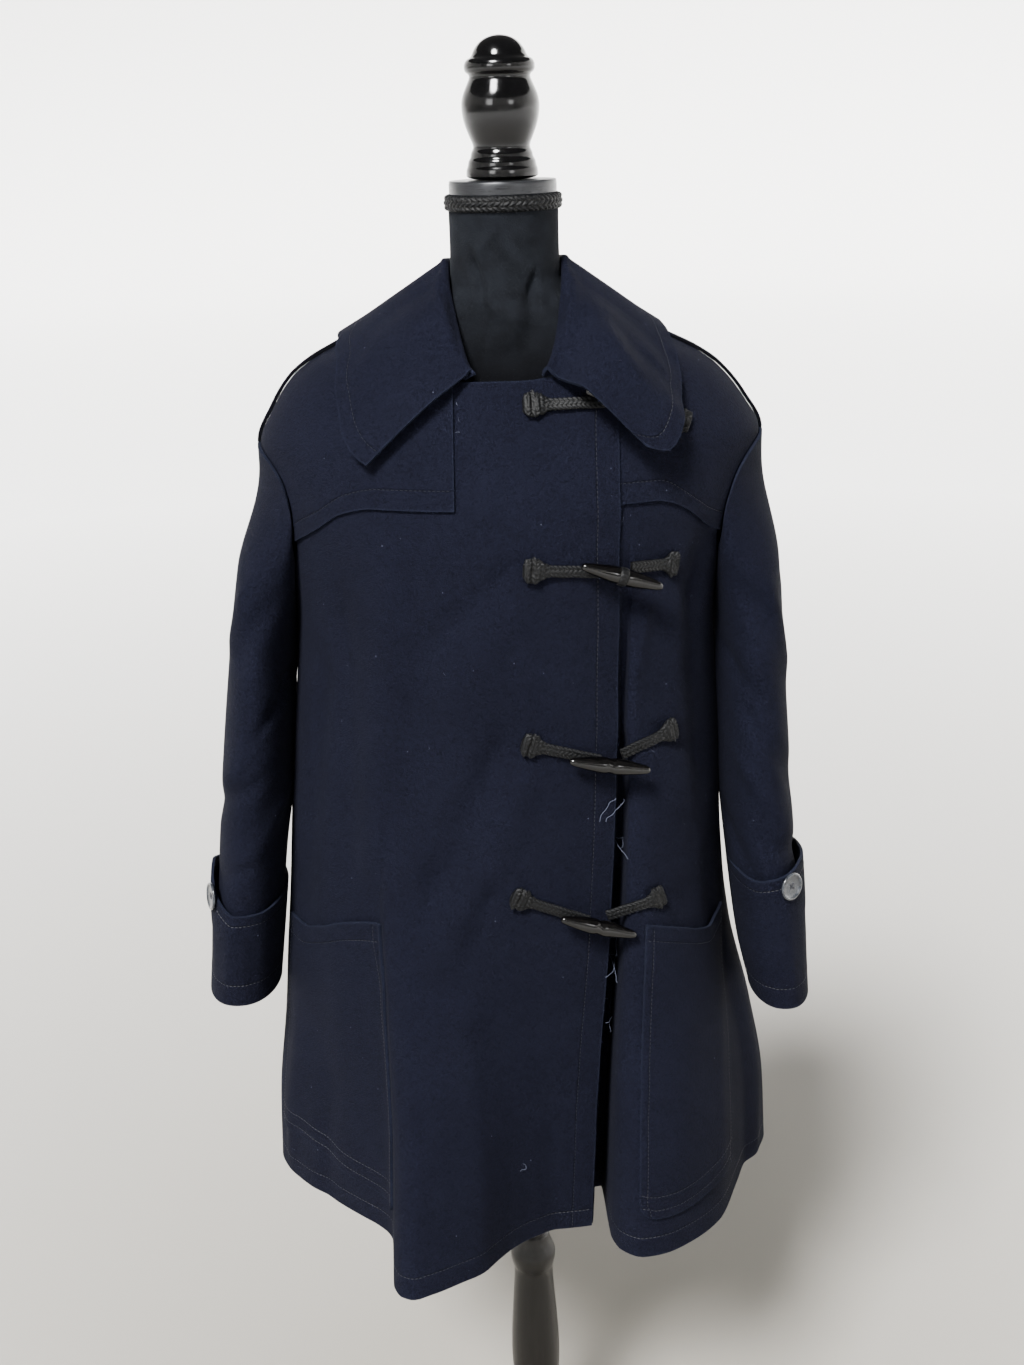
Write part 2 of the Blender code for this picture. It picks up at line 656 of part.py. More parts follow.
# ---------------------------------------------------------------- coat pieces
def make_fronts(cloth):
    lift = LAYER * layers_under_top(range(ROW_COUNT), range(TOP_EDGE + 1))
    outer, angle = front_layer(0, TOP_EDGE, lift)
    inner, _ = front_layer(0, TOP_EDGE, lift - WALL)
    cloth_wall("front_right_top", outer, inner, cloth, angles=angle)

    outer, angle = front_layer(UNDER_EDGE, FRONT_COLUMNS_COUNT - 1, 0.0)
    inner, _ = front_layer(UNDER_EDGE, FRONT_COLUMNS_COUNT - 1, -WALL)
    cloth_wall("front_left_under", outer, inner, cloth, angles=angle)


def make_back(cloth):
    angle, z = back_grid()
    zero = np.zeros(angle.shape)
    outer = skin(angle, z, zero)
    inner = skin(angle, z, zero - WALL)
    for grid in (outer, inner):
        seam_shift(grid, 0, 1)
        seam_shift(grid, -1, 1)
    cloth_wall("back", outer, inner, cloth, angles=angle)


def patch(name, first, last, low, high, gape, cloth):
    """A layer sewn on the front: made from the front's own points, moved out."""
    rows, cols = high - low + 1, last - first + 1
    across = np.sin(np.linspace(0.0, np.pi, cols))[None, :] ** 0.5
    upward = (np.linspace(0.0, 1.0, rows) ** 3)[:, None]
    lift = gape * across * upward
    outer, angle = front_layer(first, last, lift + LAYER, slice(low, high + 1))
    inner, _ = front_layer(first, last, lift + GAP, slice(low, high + 1))
    cloth_wall(name, outer, inner, cloth, angles=angle)


def make_patches(cloth):
    top = ROW_COUNT - 1
    patch("yoke_right_front", 0, POCKET_LEFT_INNER, ROW_YOKE, top, 0.0, cloth)
    patch("yoke_left_front", TOP_EDGE - 1, FRONT_COLUMNS_COUNT - 1, ROW_YOKE, top, 0.0, cloth)
    pockets = (
        ("pocket_right", POCKET_LEFT_OUTER, POCKET_LEFT_INNER),
        ("pocket_left", POCKET_RIGHT_INNER, POCKET_RIGHT_OUTER),
    )
    for name, first, last in pockets:
        patch(name, first, last, ROW_POCKET_BOTTOM, ROW_POCKET_TOP, POCKET_GAPE, cloth)


def armhole_ring(side):
    """The armhole's edge on one side, from the armpit up the front and down the back."""
    up = [(front, z) for z, front, _ in ARMHOLE]
    down = [(back, z) for z, _, back in ARMHOLE[1:-1]][::-1]
    angles, heights = np.array(up + down).T
    return side * angles, heights


def sleeve_ring(table, side, turn, z, swell):
    """A point of a sleeve: turn 0 is its inner side and 90 its front."""
    out = read_table(table, SLEEVE_COLUMNS, "out", z)
    inside = read_table(table, SLEEVE_COLUMNS, "in", z)
    forward = read_table(table, SLEEVE_COLUMNS, "forward", z)
    depth = read_table(table, SLEEVE_COLUMNS, "half_depth", z)
    t = np.radians(turn)
    middle, half = (out + inside) / 2, (out - inside) / 2 - WALL / 2
    x = side * (middle - (half + swell) * np.sign(np.cos(t)) * np.abs(np.cos(t)) ** 0.9)
    y = -(forward + (depth + swell) * np.sin(t))
    return np.stack(np.broadcast_arrays(x, y, z), -1)


def sleeve_turns():
    count = 2 * (len(ARMHOLE) - 1)
    return np.arange(count) * 360.0 / count


SLEEVE_SHARES = (0.0, 0.05, 0.11, 0.18, 0.27, 0.38, 0.50, 0.62, 0.74, 0.87, 1.0)


def sleeve_points(side, table, swell):
    """Rows of a sleeve from its head down to its end, as far out as swell says."""
    angles, heights = armhole_ring(side)
    turns = sleeve_turns()
    over_yoke = LAYER * ease(ARMHOLE[3][0], ARMHOLE[4][0], heights)
    head = skin(angles, heights, over_yoke + GAP + WALL / 2 + 0.0002)
    middle = np.array([side * 0.2, 0.0, 1.235])
    spread = head - middle
    spread[:, 0] = 0.0
    spread /= np.linalg.norm(spread, axis=1, keepdims=True)
    t = np.radians(turns)
    way = np.stack([-side * np.cos(t), -np.sin(t), np.zeros(len(t))], -1)
    head = head - spread * 0.0004 + way * swell
    end_z = table[0][0]
    rows = []
    for share in SLEEVE_SHARES:
        z = heights + (end_z - heights) * share
        below = sleeve_ring(table, side, turns, z, swell)
        blend = ease(0.0, 0.20, share)
        start = head.copy()
        start[:, 2] = head[:, 2] + (end_z - head[:, 2]) * share
        rows.append(start + (below - start) * blend)
    return np.array(rows)


def make_sleeve(name, side, table, cloth):
    outer = sleeve_points(side, table, WALL / 2)
    inner = sleeve_points(side, table, -WALL / 2)
    cloth_wall(name, outer, inner, cloth, wrap=True)


# Each cuff: the height of its edge, its raised point (degrees round from the
# inner side, height and half width), and where its button sits.
CUFF_COLUMNS = (
    "height", "point_turn", "point_rise", "point_width", "button_turn", "button_height", "button_lift",
)
CUFF_LEFT_OF_VIEW = (0.108, 178.0, 0.034, 75.0, 141.0, 0.119, 0.0005)
CUFF_RIGHT_OF_VIEW = (0.150, 140.0, 0.012, 70.0, 113.0, 0.143, -0.0001)
CUFF_STANDOFF = 0.0045
CUFF_SHARES = (0.0, 0.35, 0.70, 1.0)


def cuff_value(cuff, name):
    return cuff[CUFF_COLUMNS.index(name)]


def cuff_stand(turns, share):
    """How far the cuff's middle is off the sleeve's: its top edge stands away."""
    from_body = ease(25.0, 85.0, np.abs((turns + 180.0) % 360.0 - 180.0))
    return LAYER + 0.0004 + CUFF_STANDOFF * ease(0.10, 1.0, share) * from_body


def cuff_points(side, table, cuff, swell):
    turns = sleeve_turns()
    away = np.abs(turns - cuff_value(cuff, "point_turn"))
    point = np.maximum(0.0, 1 - away / cuff_value(cuff, "point_width"))
    height = cuff_value(cuff, "height") + cuff_value(cuff, "point_rise") * point
    low = table[0][0] - 0.001
    rows = []
    for share in CUFF_SHARES:
        z = low + height * share
        rows.append(sleeve_ring(table, side, turns, z, cuff_stand(turns, share) + swell))
    return np.array(rows)


def make_cuff(name, side, table, cuff, cloth):
    outer = cuff_points(side, table, cuff, WALL / 2)
    inner = cuff_points(side, table, cuff, -WALL / 2)
    cloth_wall(name, outer, inner, cloth, wrap=True)


def button_seat(side, table, cuff):
    """Where a cuff's button sits, and the way that it faces."""
    turn = cuff_value(cuff, "button_turn")
    height = cuff_value(cuff, "button_height")
    share = height / cuff_value(cuff, "height")
    z = table[0][0] + height

    def face(at_turn, at_z):
        swell = cuff_stand(np.float64(at_turn), share) + WALL / 2
        return sleeve_ring(table, side, at_turn, at_z, swell)

    point = face(turn, z)
    across = face(turn + 4.0, z) - face(turn - 4.0, z)
    up = face(turn, z + 0.01) - face(turn, z - 0.01)
    normal = np.cross(across, up)
    normal /= np.linalg.norm(normal)
    if normal[0] * side < 0:
        normal = -normal
    return point, normal


def make_button(name, side, table, cuff, material):
    point, normal = button_seat(side, table, cuff)
    mesh = bpy.data.meshes.new(name)
    shape = bmesh.new()
    bmesh.ops.create_cone(
        shape, cap_ends=True, segments=20,
        radius1=BUTTON_RADIUS, radius2=BUTTON_RADIUS, depth=BUTTON_THICK,
    )
    shape.to_mesh(mesh)
    shape.free()
    piece = add_piece(name, mesh, material)
    bevel = piece.modifiers.new("Rim", "BEVEL")
    bevel.width = 0.0009
    bevel.segments = 1
    piece.location = Vector(point + normal * (BUTTON_THICK / 2 + cuff_value(cuff, "button_lift")))
    piece.rotation_mode = "QUATERNION"
    piece.rotation_quaternion = Vector(normal).to_track_quat("Z", "Y")
    return piece


# ---------------------------------------------------------------- collar
def outside_by(point):
    """Roughly how far a point near the shoulders is outside the body's skin."""
    def level(p):
        z = np.clip(p[..., 2], 1.2, 1.462)
        x = (p[..., 0] - section("shift", z)) / section("half_width", z)
        depth = np.where(p[..., 1] < 0, section("front", z), section("back", z))
        over = np.maximum(p[..., 2] - 1.462, 0.0) / 0.05
        return np.sqrt(x * x + (p[..., 1] / depth) ** 2) + over

    step = 0.0005
    slope = np.stack(
        [(level(point + step * axis) - level(point - step * axis)) / (2 * step) for axis in np.eye(3)],
        -1,
    )
    size = np.linalg.norm(slope, axis=-1)
    return (level(point) - 1) / size, slope / size[..., None]


def push_out(points, lift):
    """Moves points outward until they are at least this far off the skin."""
    for _ in range(6):
        distance, way = outside_by(points)
        short = np.maximum(lift - distance, 0.0)
        points = points + way * short[..., None]
    return points


COLLAR_FALL = (0.0, 0.10, 0.28, 0.50, 0.75, 1.0)
COLLAR_START = 10.5     # degrees: the collar's two front corners
COLLAR_ROLL = 0.0037    # radius of the roll, at the middle of the cloth


def collar_angles(side):
    """Seam angles from the front corner to the middle of the back: the body's own columns."""
    top = ROW_COUNT - 1
    front = [
        settle(top, lambda z, c=c: front_angle(top, c, z))[0] for c in range(FRONT_COLUMNS_COUNT)
    ]
    back = np.linspace(90.0, 270.0, BACK_COLUMNS_COUNT)
    found = [side * angle for angle in front if side * angle > COLLAR_START + 1.5]
    found += [angle for angle in back if 91.0 < angle <= 180.5]
    found = [COLLAR_START] + sorted(found)
    middles = [(a + b) / 2 for a, b in zip(found, found[1:]) if b < 60.0 and b - a > 7.0]
    return np.array(sorted(found + middles))


def collar_stack(side, angle):
    """How many layers of cloth lie under the collar's seam."""
    return 2.0 - float(ease(TOP_EDGE_MOST, 58.0, angle)) if side > 0 else 1.0


def collar_station(table, side, angle):
    """The collar's line from its seam over the roll to its edge, at a seam angle."""
    value = {key: float(read_table(table, COLLAR_COLUMNS, key, angle)) for key in COLLAR_COLUMNS}
    under = LAYER * collar_stack(side, angle)
    seam = skin(side * angle, neckline_height(angle) + 0.0029, (under - WALL) / 2)
    edge = skin(side * value["edge"], value["edge_z"], value["lift"] + WALL / 2)
    roll = np.array([side * value["roll_x"], -value["roll_front"], value["roll_z"]])
    roll[2] = max(roll[2], seam[2] + 2.3 * COLLAR_ROLL)
    away = (edge - roll) * (1.0, 1.0, 0.0)
    away *= COLLAR_ROLL / np.linalg.norm(away)
    down = np.array([0.0, 0.0, -COLLAR_ROLL])
    stand = [seam, (seam + roll - away + down) / 2, roll - away + down]
    start = roll + away + down
    fall = np.array([start + (edge - start) * s for s in COLLAR_FALL])
    least = max(COLLAR_LIFT, under + GAP)
    room = least + max(value["lift"] - least, 0.0) * ease(0.0, 0.36, np.array(COLLAR_FALL)) + WALL / 2
    fall = push_out(fall, room)
    return np.concatenate([stand, [roll], fall])


def collar_points():
    """The collar's middle surface, front corner to front corner round the back."""
    halves = []
    for side, table in ((-1, COLLAR_LEFT_OF_VIEW), (1, COLLAR_RIGHT_OF_VIEW)):
        halves.append([collar_station(table, side, angle) for angle in collar_angles(side)])
    return np.array(halves[0] + halves[1][-2::-1])


def grid_normals(points):
    along = np.gradient(points, axis=0)
    across = np.gradient(points, axis=1)
    normal = np.cross(along, across)
    return normal / np.linalg.norm(normal, axis=-1, keepdims=True)


def make_collar(cloth):
    middle = collar_points()
    normal = grid_normals(middle)
    cloth_wall("collar", middle + normal * WALL / 2, middle - normal * WALL / 2, cloth)


def make_shoulder_seams(cloth):
    """The raw seam edges that stand along each shoulder, from collar to armhole."""
    heights = [row_height(row, 90.0) for row in range(LAST_ARMHOLE_ROW, ROW_COUNT - 1)]
    across = (-0.0045, 0.0045, 0.0040, -0.0040)
    over_yoke, top = LAYER + 0.0004, LAYER + 0.0034
    lifts = (over_yoke, over_yoke, top, top)
    for name, side in (("shoulder_seam_right", -1), ("shoulder_seam_left", 1)):
        rings = []
        for z in heights:
            depth = float(section("back", z) + section("front", z)) / 2
            ring = []
            for way, lift in zip(across, lifts):
                angle = side * (90.0 + math.degrees(way / depth))
                ring.append(skin(angle, z, lift))
            rings.append(ring)
        loft(name, rings, cloth)


# ---------------------------------------------------------------- fastenings
# Along a cord from its knot: share of the way, width and thickness.
CORD_SHAPE = (
    (0.00, 0.40, 0.70),
    (0.06, 1.70, 1.55),
    (0.15, 2.05, 1.75),
    (0.24, 1.60, 1.50),
    (0.30, 1.00, 1.00),
    (0.45, 1.00, 1.00),
    (0.60, 1.00, 1.00),
    (0.75, 1.00, 1.00),
    (0.88, 1.00, 1.00),
    (1.00, 1.00, 1.00),
)
CORD_LEAVES_CLOTH = 0.30
CORD_CLEAR = 0.0006
CORD_SECTION = ((-0.5, 0.0), (-0.3, -0.5), (0.3, -0.5), (0.5, 0.0), (0.3, 0.5), (-0.3, 0.5))


def cloth_height(x, z):
    """How far the outermost cloth lies off the skin where a cord crosses the front."""
    edge = front_line("top_edge", z)
    on_top = LAYER * ease(-0.070, -0.030, x)
    over_yoke = LAYER * ease(1.230, 1.262, z) * ease(edge - 0.064, edge - 0.034, x)
    return on_top * ease(edge + 0.011, edge + 0.002, x) + over_yoke


def cord(name, knot, end, end_height, material):
    """A flat braided cord from its sewn knot to the toggle, over the cloth and the gap."""
    knot, end = np.array(knot), np.array(end)
    last = front_point(end[0], end[1], end_height)
    rings = []
    for share, width, thick in CORD_SHAPE:
        x, z = knot + (end - knot) * share
        half = CORD_THICK * thick / 2
        lift = float(cloth_height(x, z)) + half + CORD_CLEAR
        point = front_point(x, z, lift)
        if share <= CORD_LEAVES_CLOTH:
            out = front_point(x, z, lift + 0.01) - point
            leaves = point
        else:
            part = (share - CORD_LEAVES_CLOTH) / (1 - CORD_LEAVES_CLOTH)
            straight = leaves + (last - leaves) * part
            point = np.where(straight[1] < point[1], straight, point)
        along = last - point if share < 1 else along
        along = along / np.linalg.norm(along)
        normal = out - along * out.dot(along)
        normal /= np.linalg.norm(normal)
        across = np.cross(normal, along)
        rings.append([
            point + across * a * CORD_WIDTH * width + normal * b * CORD_THICK * thick
            for a, b in CORD_SECTION
        ])
    loft(name, rings, material)


TOGGLE_PROFILE = (
    (0.00, 0.500), (0.34, 0.492), (0.52, 0.440), (0.74, 0.300), (0.92, 0.170),
    (1.00, 0.060), (0.80, 0.000), (1.00, -0.060), (0.92, -0.170), (0.74, -0.300),
    (0.52, -0.440), (0.34, -0.492), (0.00, -0.500),
)


def make_fastenings(cord_material, horn):
    for number, row in enumerate(FROGS, start=1):
        value = dict(zip(FROG_COLUMNS, row))
        tips = np.array([[value["tip1_x"], value["tip1_z"]], [value["tip2_x"], value["tip2_z"]]])
        centre = tips.mean(axis=0)
        skin_lift = 2 * LAYER + CORD_THICK + TOGGLE_RADIUS + value["seat"]
        point = front_point(centre[0] - 0.012, centre[1], skin_lift)
        point[0] = centre[0]
        way = np.array([tips[1][0] - tips[0][0], 0.012, tips[1][1] - tips[0][1]])
        profile = [(r * TOGGLE_RADIUS, z * TOGGLE_LENGTH) for r, z in TOGGLE_PROFILE]
        toggle = turned(f"toggle_{number}", profile, horn, sides=12)
        toggle.location = Vector(point)
        toggle.rotation_mode = "QUATERNION"
        toggle.rotation_quaternion = Vector(way).to_track_quat("Z", "Y")
        under = 2 * LAYER + CORD_THICK / 2 + 0.0007
        knot = (value["knot_x"], value["knot_z"])
        loop = (value["loop_x"], value["loop_z"])
        cord(f"toggle_cord_{number}", knot, (centre[0] - 0.012, centre[1] + 0.002), under, cord_material)
        cord(f"loop_cord_{number}", loop, (centre[0] + 0.006, centre[1] + 0.004), under, cord_material)


# ---------------------------------------------------------------- the dress form
FORM_SIDES = 24


def form_point(turns, z):
    """The form's surface: its own section, or just under the coat on the shoulders."""
    half = read_table(FORM_SECTIONS, FORM_COLUMNS, "half_width", z)
    front = read_table(FORM_SECTIONS, FORM_COLUMNS, "front", z)
    back = read_table(FORM_SECTIONS, FORM_COLUMNS, "back", z)
    t = np.radians(turns)
    own = np.stack(
        [half * np.sin(t), -np.where(np.cos(t) > 0, front, back) * np.cos(t), np.full(t.shape, z)],
        -1,
    )
    on_shoulder = float(ease(1.360, 1.385, z) * ease(1.440, 1.424, z))
    weight = on_shoulder * ease(0.62, 0.92, np.abs(np.sin(t)))
    clear = 0.0010 + 0.022 * np.cos(t) ** 2
    under = skin(turns, np.full(t.shape, min(z, 1.45)), -WALL - clear)
    return own + (under - own) * weight[:, None]


def make_form(jersey):
    turns = np.arange(FORM_SIDES) * 360.0 / FORM_SIDES
    heights = (
        0.790, 0.800, 0.860, 0.940, 1.010, 1.100, 1.190, 1.260, 1.320,
        1.350, 1.375, 1.390, 1.405, 1.420, 1.436, 1.452, 1.470, 1.500, NECK_TOP_Z,
    )
    loft("form_torso", [form_point(turns, z) for z in heights], jersey)


def make_braid(braid):
    """A narrow braid round the top of the neck."""
    profile = ((0.0519, 0.0), (0.0541, 0.0012), (0.0548, 0.0070), (0.0541, 0.0128), (0.0519, 0.0140))
    top = NECK_TOP_Z - 0.0004
    turns = np.radians(np.arange(FORM_SIDES) * 360.0 / FORM_SIDES)
    outer = np.array([
        [(r * math.sin(t), -r * math.cos(t), top - 0.0140 + z) for t in turns] for r, z in profile
    ])
    inner = outer.copy()
    flat = np.hypot(inner[..., 0], inner[..., 1])
    inner[..., 0] *= 0.0519 / flat
    inner[..., 1] *= 0.0519 / flat
    inner = inner[[0, -1]]
    outer_rows = outer[1:-1]
    inner_rows = np.stack([inner[0] + (inner[1] - inner[0]) * s for s in (0.0, 0.5, 1.0)])
    cloth_wall("neck_braid", outer_rows, inner_rows, braid, wrap=True)


# ---------------------------------------------------------------- build
def clear_scene():
    for old in list(bpy.data.objects):
        bpy.data.objects.remove(old, do_unlink=True)


def main():
    clear_scene()
    collection = bpy.data.collections.new("Toggle coat")
    bpy.context.scene.collection.children.link(collection)
    wool = make_material("Navy melton wool", (0.017, 0.021, 0.052), 0.95)
    cord_material = make_material("Black braided cord", (0.006, 0.006, 0.007), 0.85)
    horn = make_material("Black polished horn", (0.004, 0.004, 0.005), 0.18)
    pearl = make_material("Grey shell button", (0.32, 0.33, 0.35), 0.25)
    jersey = make_material("Black velvet jersey", (0.008, 0.008, 0.010), 0.95)
    lacquer = make_material("Black lacquered wood", (0.006, 0.006, 0.006), 0.12)
    satin = make_material("Dark satin wood", (0.020, 0.018, 0.017), 0.40)
    plate = make_material("Grey painted plate", (0.10, 0.10, 0.105), 0.40)

    make_fronts(wool)
    make_back(wool)
    make_patches(wool)
    sides = (
        ("right", -1, SLEEVE_LEFT_OF_VIEW, CUFF_LEFT_OF_VIEW),
        ("left", 1, SLEEVE_RIGHT_OF_VIEW, CUFF_RIGHT_OF_VIEW),
    )
    for word, side, table, cuff in sides:
        make_sleeve(f"sleeve_{word}", side, table, wool)
        make_cuff(f"cuff_{word}", side, table, cuff, wool)
        make_button(f"cuff_button_{word}", side, table, cuff, pearl)
    make_collar(wool)
    make_shoulder_seams(wool)
    make_fastenings(cord_material, horn)
    make_form(jersey)
    make_braid(jersey)
    turned("neck_plate", PLATE_PROFILE, plate, sides=28)
    turned("neck_finial", FINIAL_PROFILE, lacquer)
    turned("stand_post", POST_PROFILE, satin)
    turned("stand_base", BASE_PROFILE, satin, sides=28)


main()
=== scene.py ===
"""Looks of the toggle coat on its dress form.

Every cloth piece is a thin shell on the form of its own solid, with soft
folds, raw fluffy edges and topstitching. Metres, +Z up, front faces -Y.
"""

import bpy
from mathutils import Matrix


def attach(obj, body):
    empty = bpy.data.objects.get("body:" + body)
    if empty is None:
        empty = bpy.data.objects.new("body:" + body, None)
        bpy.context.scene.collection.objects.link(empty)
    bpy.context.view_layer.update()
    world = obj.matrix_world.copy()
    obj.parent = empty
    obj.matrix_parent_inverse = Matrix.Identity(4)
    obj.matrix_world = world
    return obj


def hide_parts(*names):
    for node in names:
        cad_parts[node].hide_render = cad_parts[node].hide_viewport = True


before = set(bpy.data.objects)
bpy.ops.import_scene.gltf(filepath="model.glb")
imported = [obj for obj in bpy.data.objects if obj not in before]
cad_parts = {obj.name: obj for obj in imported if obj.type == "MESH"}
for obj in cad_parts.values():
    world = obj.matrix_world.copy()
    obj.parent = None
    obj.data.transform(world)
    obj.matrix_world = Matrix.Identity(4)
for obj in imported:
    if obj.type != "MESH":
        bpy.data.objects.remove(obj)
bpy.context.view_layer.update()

import math

import bpy
import numpy as np
from mathutils import Matrix, Vector

# ---------------------------------------------------------------- sizes
WALL = 0.003            # thickness of the wool cloth
GAP = 0.0003            # clearance between layers
LAYER = WALL + GAP      # how far one layer of cloth lifts the next
HEM_Z = 0.480
SHOULDER_TIP_Z = 1.313
NECK_TOP_Z = 1.5382
POST_TOP_Z = 0.7897
BASE_TOP_Z = 0.0640
COLLAR_LIFT = 0.0080    # underside of the collar above the body's skin
POCKET_GAPE = 0.0026    # how far a pocket's mouth stands off the front
TOGGLE_LENGTH = 0.0790
TOGGLE_RADIUS = 0.0082
CORD_WIDTH = 0.0125
CORD_THICK = 0.0046
CLOTH_CELL = 0.0055     # size of the shells' cells
STITCH_LENGTH = 0.0031
STITCH_PITCH = 0.0043
FIBRE_WIDTH = 0.00016   # one loose wool fibre, drawn a little thick so that it shows
LINT_WIDTH = 0.00022
THREAD_RADIUS = 0.00016
RANDOM = np.random.default_rng(41)

# The coat's section at each height: half its width, its reach in front of
# and behind the form's axis, how far it sits to +X, and how pointed its
# front half is towards the sides (1 is an ellipse).
SECTION_COLUMNS = ("z", "half_width", "front", "back", "shift", "point")
SECTIONS = (
    (0.480, 0.280, 0.150, 0.196, -0.007, 1.25),
    (0.575, 0.274, 0.154, 0.184, -0.007, 1.20),
    (0.670, 0.259, 0.158, 0.172, -0.009, 1.15),
    (0.780, 0.240, 0.163, 0.157, -0.016, 1.08),
    (0.870, 0.229, 0.166, 0.146, -0.017, 1.00),
    (1.000, 0.219, 0.168, 0.133, -0.013, 1.00),
    (1.140, 0.209, 0.167, 0.127, -0.009, 1.00),
    (1.220, 0.219, 0.162, 0.124, -0.006, 1.00),
    (1.270, 0.232, 0.152, 0.117, -0.002, 1.00),
    (1.313, 0.239, 0.138, 0.109, 0.000, 1.00),
    (1.344, 0.224, 0.126, 0.101, -0.001, 1.00),
    (1.372, 0.203, 0.113, 0.094, -0.003, 1.00),
    (1.387, 0.183, 0.105, 0.090, -0.004, 1.00),
    (1.401, 0.156, 0.096, 0.086, -0.005, 1.00),
    (1.416, 0.127, 0.087, 0.080, -0.004, 1.00),
    (1.433, 0.095, 0.074, 0.072, -0.002, 1.00),
    (1.452, 0.066, 0.056, 0.066, 0.000, 1.00),
    (1.462, 0.056, 0.050, 0.062, 0.000, 1.00),
)

# Where each armhole's edge runs, in degrees from the middle of the front.
ARMHOLE_COLUMNS = ("z", "front_angle", "back_angle")
ARMHOLE = (
    (1.1400, 90.0, 90.0),
    (1.1580, 83.0, 97.0),
    (1.1800, 76.0, 104.0),
    (1.2050, 70.0, 110.0),
    (1.2280, 65.5, 113.0),
    (1.2580, 62.0, 116.0),
    (1.2820, 63.5, 114.0),
    (1.3000, 69.0, 109.0),
    (1.3095, 78.5, 101.0),
    (1.3130, 90.0, 90.0),
)

# The neckline's height, by degrees from the middle of the front.
NECKLINE_COLUMNS = ("angle", "z")
NECKLINE = (
    (0.0, 1.380),
    (11.0, 1.381),
    (26.0, 1.409),
    (45.0, 1.433),
    (68.0, 1.446),
    (90.0, 1.450),
    (135.0, 1.457),
    (180.0, 1.460),
)

# Lines that the front panels share, as distances from the axis along X.
FRONT_LINE_COLUMNS = ("z", "pocket_left", "under_edge", "top_edge", "pocket_right")
FRONT_LINES = (
    (0.480, -0.1475, -0.020, 0.063, 0.215),
    (0.650, -0.1410, -0.020, 0.070, 0.214),
    (0.855, -0.1410, -0.020, 0.084, 0.205),
    (1.000, -0.1150, -0.020, 0.090, 0.190),
    (1.220, -0.0530, -0.020, 0.095, 0.165),
    (1.400, -0.0500, -0.020, 0.097, 0.120),
)

# The flutes of the front: how far the skin moves forward at the hem (back if
# negative), by degrees from one of the lines above.
FLUTE_COLUMNS = ("offset", "reach")
FLUTE_AT_POCKET = (
    (-59.5, -0.0130), (-39.0, -0.0137), (-22.4, -0.0116), (-7.0, 0.0020),
    (-2.8, 0.0104), (-0.6, 0.0220), (0.9, 0.0940), (3.0, 0.1060),
    (5.0, 0.1072), (9.4, 0.0950), (16.0, 0.0708), (20.3, 0.0550),
    (23.7, 0.0328), (27.0, 0.0138), (31.0, -0.0016), (37.0, -0.0136), (45.0, -0.0134),
)
FLUTE_AT_EDGE = (
    (-2.0, 0.0), (0.3, 0.0), (1.6, -0.0600), (3.1, -0.0600), (4.3, 0.0260),
    (6.3, 0.0500), (11.5, 0.0690), (17.0, 0.0720), (24.6, 0.0668),
    (33.7, 0.0534), (43.0, 0.0114), (49.0, -0.0096), (75.4, -0.0096),
)
FLUTE_AT_POCKET_TOP = 0.960
FLUTE_AT_EDGE_TOP = 1.260

# Hanging folds of the back: angle and width (to its left and right) in degrees
# at the hem, reach outward at the hem, the height where the fold dies out, and
# how many degrees it has turned by there.
FOLDS = (
    (128.0, 15.0, 15.0, 0.020, 1.050, 0.0),
    (163.0, 11.0, 13.0, 0.030, 1.180, 4.0),
    (203.0, 13.0, 11.0, 0.026, 1.150, -5.0),
    (238.0, 13.0, 13.0, 0.022, 1.060, 0.0),
)

# Sleeves, for the wearer's right arm at -X; "out" is the outer side and "in"
# the inner side, as distances from the axis.
SLEEVE_COLUMNS = ("z", "out", "in", "forward", "half_depth")
SLEEVE_LEFT_OF_VIEW = (
    (0.734, 0.3360, 0.2680, 0.024, 0.056),
    (0.785, 0.3300, 0.2610, 0.022, 0.060),
    (0.870, 0.3195, 0.2500, 0.018, 0.066),
    (0.950, 0.3105, 0.2397, 0.012, 0.072),
    (1.022, 0.3010, 0.2320, 0.008, 0.080),
    (1.109, 0.2882, 0.2264, 0.004, 0.080),
    (1.193, 0.2739, 0.2240, 0.000, 0.076),
    (1.265, 0.2579, 0.2200, 0.000, 0.066),
    (1.313, 0.2390, 0.2180, 0.000, 0.055),
)
SLEEVE_RIGHT_OF_VIEW = (
    (0.720, 0.2990, 0.2440, 0.042, 0.053),
    (0.780, 0.2950, 0.2300, 0.040, 0.058),
    (0.870, 0.2860, 0.2185, 0.032, 0.066),
    (0.950, 0.2805, 0.2108, 0.020, 0.072),
    (1.000, 0.2775, 0.2085, 0.012, 0.078),
    (1.081, 0.2720, 0.2045, 0.004, 0.080),
    (1.177, 0.2650, 0.2076, 0.000, 0.076),
    (1.238, 0.2584, 0.2080, 0.000, 0.068),
    (1.313, 0.2400, 0.2120, 0.000, 0.055),
)

